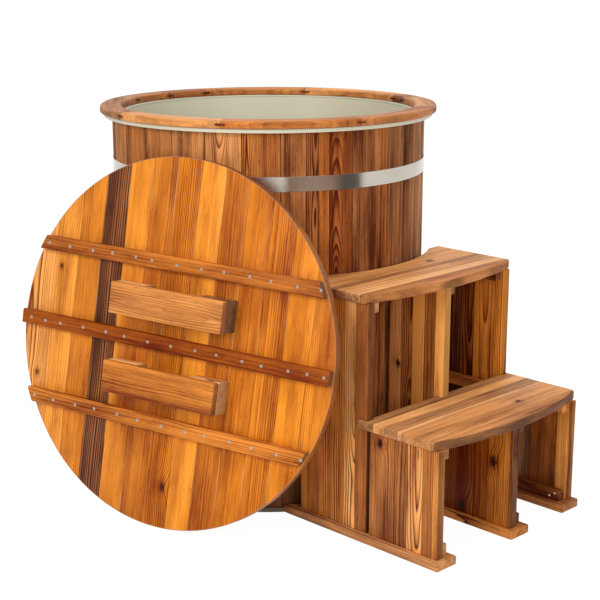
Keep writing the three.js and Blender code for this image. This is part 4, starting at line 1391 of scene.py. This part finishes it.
def lower_tread_outline():
    """The lower tread is notched round the tall panels, with an ear outside the first and the last."""
    outline = [(LOWER_TREAD_EAR, -TREAD_HALF)]
    outline += bow_front(LOWER_TREAD_FRONT)
    outline += [(LOWER_TREAD_EAR, TREAD_HALF)]
    for name, y, _, shift, _ in FRAMES[::-1]:
        near = y + PANEL_THICKNESS + NOTCH
        far = y - NOTCH
        bottom = TALL_FRONT + shift + NOTCH
        near_rear = LOWER_TREAD_EAR if name == "right" else LOWER_TREAD_REAR
        far_rear = LOWER_TREAD_EAR if name == "left" else LOWER_TREAD_REAR
        outline += [(near_rear, near), (bottom, near), (bottom, far), (far_rear, far)]
    return outline


def build_treads():
    for name, outline, top, front, wear in (
        ("upper", upper_tread_outline(), UPPER_TREAD_TOP, UPPER_TREAD_FRONT, UPPER_TREAD_WEAR),
        ("lower", lower_tread_outline(), LOWER_TREAD_TOP, LOWER_TREAD_FRONT, LOWER_TREAD_WEAR),
    ):
        wood = larch(f"{name}_tread_looks", ring=0.009, gloss=0.46, cover=worn_front(front, wear))
        tread = Piece(f"tread_{name}")
        form = slab(outline, top - TREAD_THICKNESS, top, TREAD_EDGE, 3)
        tread.add(form, STEPS, ALONG_Y, TREAD_BOARDS[name])
        tread.build("steps", "tread_wood", wood, f"{name}_tread")


def foot_outline(left, right, front):
    """A rail whose rear end is hollowed to the tub's base."""
    rear = []
    for i in range(HOLLOW_STEPS + 1):
        y = right + (left - right) * i / HOLLOW_STEPS
        hollow = math.sqrt(FOOT_HOLLOW**2 - (y + STEPS_SHIFT) ** 2)
        rear.append((max(hollow, FOOT_HEEL), y))
    return [(front, left), (front, right)] + rear


def build_panels(name, y, shift, rear, wood):
    for kind, start, end, top, boards in (
        ("tall", rear, TALL_FRONT + shift, TALL_TOP, TALL_BOARDS[name]),
        ("short", SHORT_REAR + shift, SHORT_FRONT + shift, SHORT_TOP, SHORT_BOARDS[name]),
    ):
        panel = Piece(f"{kind}_side_{name}")
        form = box((start, y, FOOT_HEIGHT + GAP), (end, y + PANEL_THICKNESS, top), PANEL_EDGE)
        panel.add(form, STEPS, PANEL_GRAIN, boards)
        panel.build("steps", "frame_wood", wood, f"{name}_{kind}_panel")


def build_rail(name, middle, front, wood):
    outline = foot_outline(middle - FOOT_WIDTH / 2, middle + FOOT_WIDTH / 2, front)
    form = slab(outline, 0, FOOT_HEIGHT, TREAD_EDGE, 3)
    rail = Piece(f"foot_rail_{name}")
    rail.add(form, STEPS, ALONG_X, ((0, RAIL_TONES[name]),), seams=False)
    rail.build("steps", "frame_wood", wood, f"{name}_foot")


def build_cleats(name, cleat_y, side, shift, rear, wood, steel):
    """A frame's cleats on the foot and under both treads, with pairs of staggered screws on their faces."""
    start = rear + CLEAT_REAR_SETBACK
    rows = (
        ("foot", FOOT_HEIGHT + SEAT_GAP, SHORT_FRONT, ()),
        ("lower", SHORT_TOP - CLEAT_HEIGHT, SHORT_FRONT, (f"{name}_lower_cleat",)),
        ("upper", TALL_TOP - CLEAT_HEIGHT, TALL_FRONT, (f"{name}_upper_cleat",)),
    )
    heads = Piece(f"cleat_screws_{name}")
    face = cleat_y + CLEAT_WIDTH if side > 0 else cleat_y
    turn = Matrix.Rotation(side * -math.pi / 2, 4, "X")
    for (kind, bottom, front, nodes), tone in zip(rows, CLEAT_TONES[name]):
        end = front + shift - CLEAT_FRONT_SETBACK
        cleat = Piece(f"{kind}_cleat_{name}")
        form = box((start, cleat_y, bottom), (end, cleat_y + CLEAT_WIDTH, bottom + CLEAT_HEIGHT), CLEAT_EDGE)
        cleat.add(form, STEPS, ALONG_X, ((0, tone),), seams=False)
        cleat.build("steps", "frame_wood", wood, *nodes)
        for k in range(SCREW_PAIRS):
            x = start + SCREW_INSET + (end - start - 2 * SCREW_INSET) * k / (SCREW_PAIRS - 1)
            for ahead, share in ((0, LOW_SCREW_SHARE), (SCREW_STAGGER, HIGH_SCREW_SHARE)):
                spot = Matrix.Translation((x + ahead, face, bottom + CLEAT_HEIGHT * share))
                heads.add(screw(SMALL_SCREW), STEPS @ spot @ turn)
    heads.build("steps", "band_steel", steel)


def build_frame(name, y, side, shift, rear, wood, steel):
    far = y + PANEL_THICKNESS
    cleat_y = far + GAP if side > 0 else y - GAP - CLEAT_WIDTH
    middle = (min(y, cleat_y) + max(far, cleat_y + CLEAT_WIDTH)) / 2
    build_panels(name, y, shift, rear, wood)
    build_rail(name, middle, SHORT_FRONT + shift + FOOT_TOE, wood)
    build_cleats(name, cleat_y, side, shift, rear, wood, steel)


# Stage, camera and light
CAMERA_PLACE = (0.0, -4.007, 1.4915)
CAMERA_DOWN = math.radians(14.035)
CAMERA_TURN = math.radians(-1.301)
CAMERA_SENSOR = 36.0
CAMERA_LENS = 82.62
FLOOR_HALF = 30.0
FLOOR_GREY = (0.9, 0.9, 0.9, 1)
FLOOR_GLOW = 1.3
FLOOR_GLOW_SHARE = 0.7
WHITE = (1, 1, 1, 1)
WORLD_LIGHT = 0.36
CARD_HEIGHT = 3.5
STAGE_RAYS = ("Camera", "Glossy", "Transmission")


def build_camera():
    camera = bpy.data.cameras.new("camera")
    camera.sensor_width = CAMERA_SENSOR
    camera.lens = CAMERA_LENS
    seat = put_in_scene("camera", camera)
    seat.location = CAMERA_PLACE
    seat.rotation_euler = (math.pi / 2 - CAMERA_DOWN, 0.0, CAMERA_TURN)
    bpy.context.scene.camera = seat


def seen_directly(flow):
    """1 for rays that see the stage itself: from the camera, in a reflection or through glass."""
    straight, mirrored, through = [
        flow.node("ShaderNodeLightPath", {}, out=f"Is {kind} Ray") for kind in STAGE_RAYS
    ]
    return straight.math("MAXIMUM", mirrored).math("MAXIMUM", through)


def build_floor():
    """A floor that glows nearly white where it is seen and still keeps the tub's shadow."""
    material, shader, flow = new_material("pale_floor")
    shader.inputs["Base Color"].default_value = FLOOR_GREY
    shader.inputs["Roughness"].default_value = 1.0
    shader.inputs["Specular IOR Level"].default_value = 0.0
    glow = flow.node("ShaderNodeEmission", {"Color": WHITE, "Strength": FLOOR_GLOW})
    share = seen_directly(flow) * FLOOR_GLOW_SHARE
    lit = Flow(flow.tree, shader.outputs[0])
    mixed = flow.node("ShaderNodeMixShader", {0: share, 1: lit, 2: glow})
    target = material.node_tree.nodes["Material Output"]
    flow.tree.links.new(mixed.socket, target.inputs["Surface"])
    mesh = bpy.data.meshes.new("floor")
    corners = [(-1, -1), (1, -1), (1, 1), (-1, 1)]
    mesh.from_pydata([(x * FLOOR_HALF, y * FLOOR_HALF, 0) for x, y in corners], [], [(0, 1, 2, 3)])
    mesh.materials.append(material)
    put_in_scene("floor", mesh)


def build_world():
    """A world that is white where it is seen and lights the tub at a lower level."""
    world = bpy.data.worlds.new("studio")
    world.use_nodes = True
    bpy.context.scene.world = world
    flow = Flow(world.node_tree)
    strength = WORLD_LIGHT + seen_directly(flow) * (1.0 - WORLD_LIGHT)
    background = world.node_tree.nodes["Background"]
    background.inputs["Color"].default_value = WHITE
    connect(background, "Strength", strength)


def add_softbox(name, place, target, size, power, tint=(1, 1, 1)):
    lamp = bpy.data.lights.new(name, "AREA")
    lamp.shape = "RECTANGLE"
    lamp.size, lamp.size_y = size
    lamp.energy = power
    lamp.color = tint
    seat = put_in_scene(name, lamp)
    seat.location = place
    aim = Vector(target) - Vector(place)
    seat.rotation_euler = aim.to_track_quat("-Z", "Y").to_euler()


def build_lights():
    add_softbox(
        "key",
        place=(-2.6, -3.8, 3.0),
        target=(0, -0.2, 0.5),
        size=(2.2, 2.2),
        power=130,
        tint=(1.0, 0.98, 0.95),
    )
    add_softbox(
        "fill",
        place=(2.6, -4.2, 1.8),
        target=(0.3, -0.2, 0.5),
        size=(2.2, 2.0),
        power=90,
        tint=(0.98, 0.99, 1.0),
    )
    add_softbox("top", place=(0.3, 0.0, 4.2), target=(0, 0, 0.6), size=(2.5, 2.5), power=75)


def build_dark_card(name, colour, start, end):
    """A dimly glowing upright screen to the right of the tub, seen only in reflections such as the band's,
    where it paints a dark reflection.
    """
    material, shader, _ = new_material(name)
    shader.inputs["Base Color"].default_value = (0.0, 0.0, 0.0, 1)
    shader.inputs["Emission Color"].default_value = colour
    shader.inputs["Emission Strength"].default_value = 1.0
    mesh = bpy.data.meshes.new(name)
    points = [(*corner, height) for height in (0.0, CARD_HEIGHT) for corner in (start, end)]
    mesh.from_pydata(points, [], [(0, 1, 3, 2)])
    mesh.materials.append(material)
    card = put_in_scene(name, mesh)
    card.visible_camera = False
    card.visible_diffuse = False
    card.visible_shadow = False


def build_all():
    stave_wood = larch(
        "stave_wood_looks", ring=0.0045, gloss=0.60, sheen=0.06, contrast=1.25, veins=0.5, cover=foot_shade_and_joint_stain
    )
    frame_wood = larch("frame_wood_looks", ring=0.0090, contrast=1.15, wander=0.012)
    steel = brushed_steel("band_steel_looks", BAND_STEEL, around=True)
    small_steel = brushed_steel("screw_steel_looks", SCREW_STEEL, around=False)
    build_staves(stave_wood)
    build_base(base_plastic())
    build_liner(liner_plastic())
    build_rim(rim_larch())
    build_bands(steel, small_steel)
    build_drain(plated_brass(), small_steel, grip_vinyl())
    panel_wood = larch(
        "lid_wood_looks", gloss=0.36, contrast=0.9, veins=0.3, mottle=1.6, streaks=0.95, knots=0.6,
        pale_joints=True, cover=rim_highlight,
    )
    batten_wood = larch("batten_wood_looks", ring=0.0072, contrast=1.1, ends=0.85)
    handle_wood = larch("handle_wood_looks", ring=0.0075, ends=0.6)
    build_lid(panel_wood, batten_wood, handle_wood, small_steel)
    build_treads()
    for row in FRAMES:
        build_frame(*row, frame_wood, small_steel)


bpy.context.scene.view_settings.view_transform = "Standard"
build_camera()
build_floor()
build_world()
build_lights()
# Glowing screens that paint a brown reflection and a near-black reflection into the band
build_dark_card("brown_card", colour=(0.19, 0.070, 0.003, 1), start=(0.50, -2.60), end=(1.80, -1.70))
build_dark_card("grey_card", colour=(0.01, 0.01, 0.004, 1), start=(1.80, -1.70), end=(2.30, -1.12))
build_all()
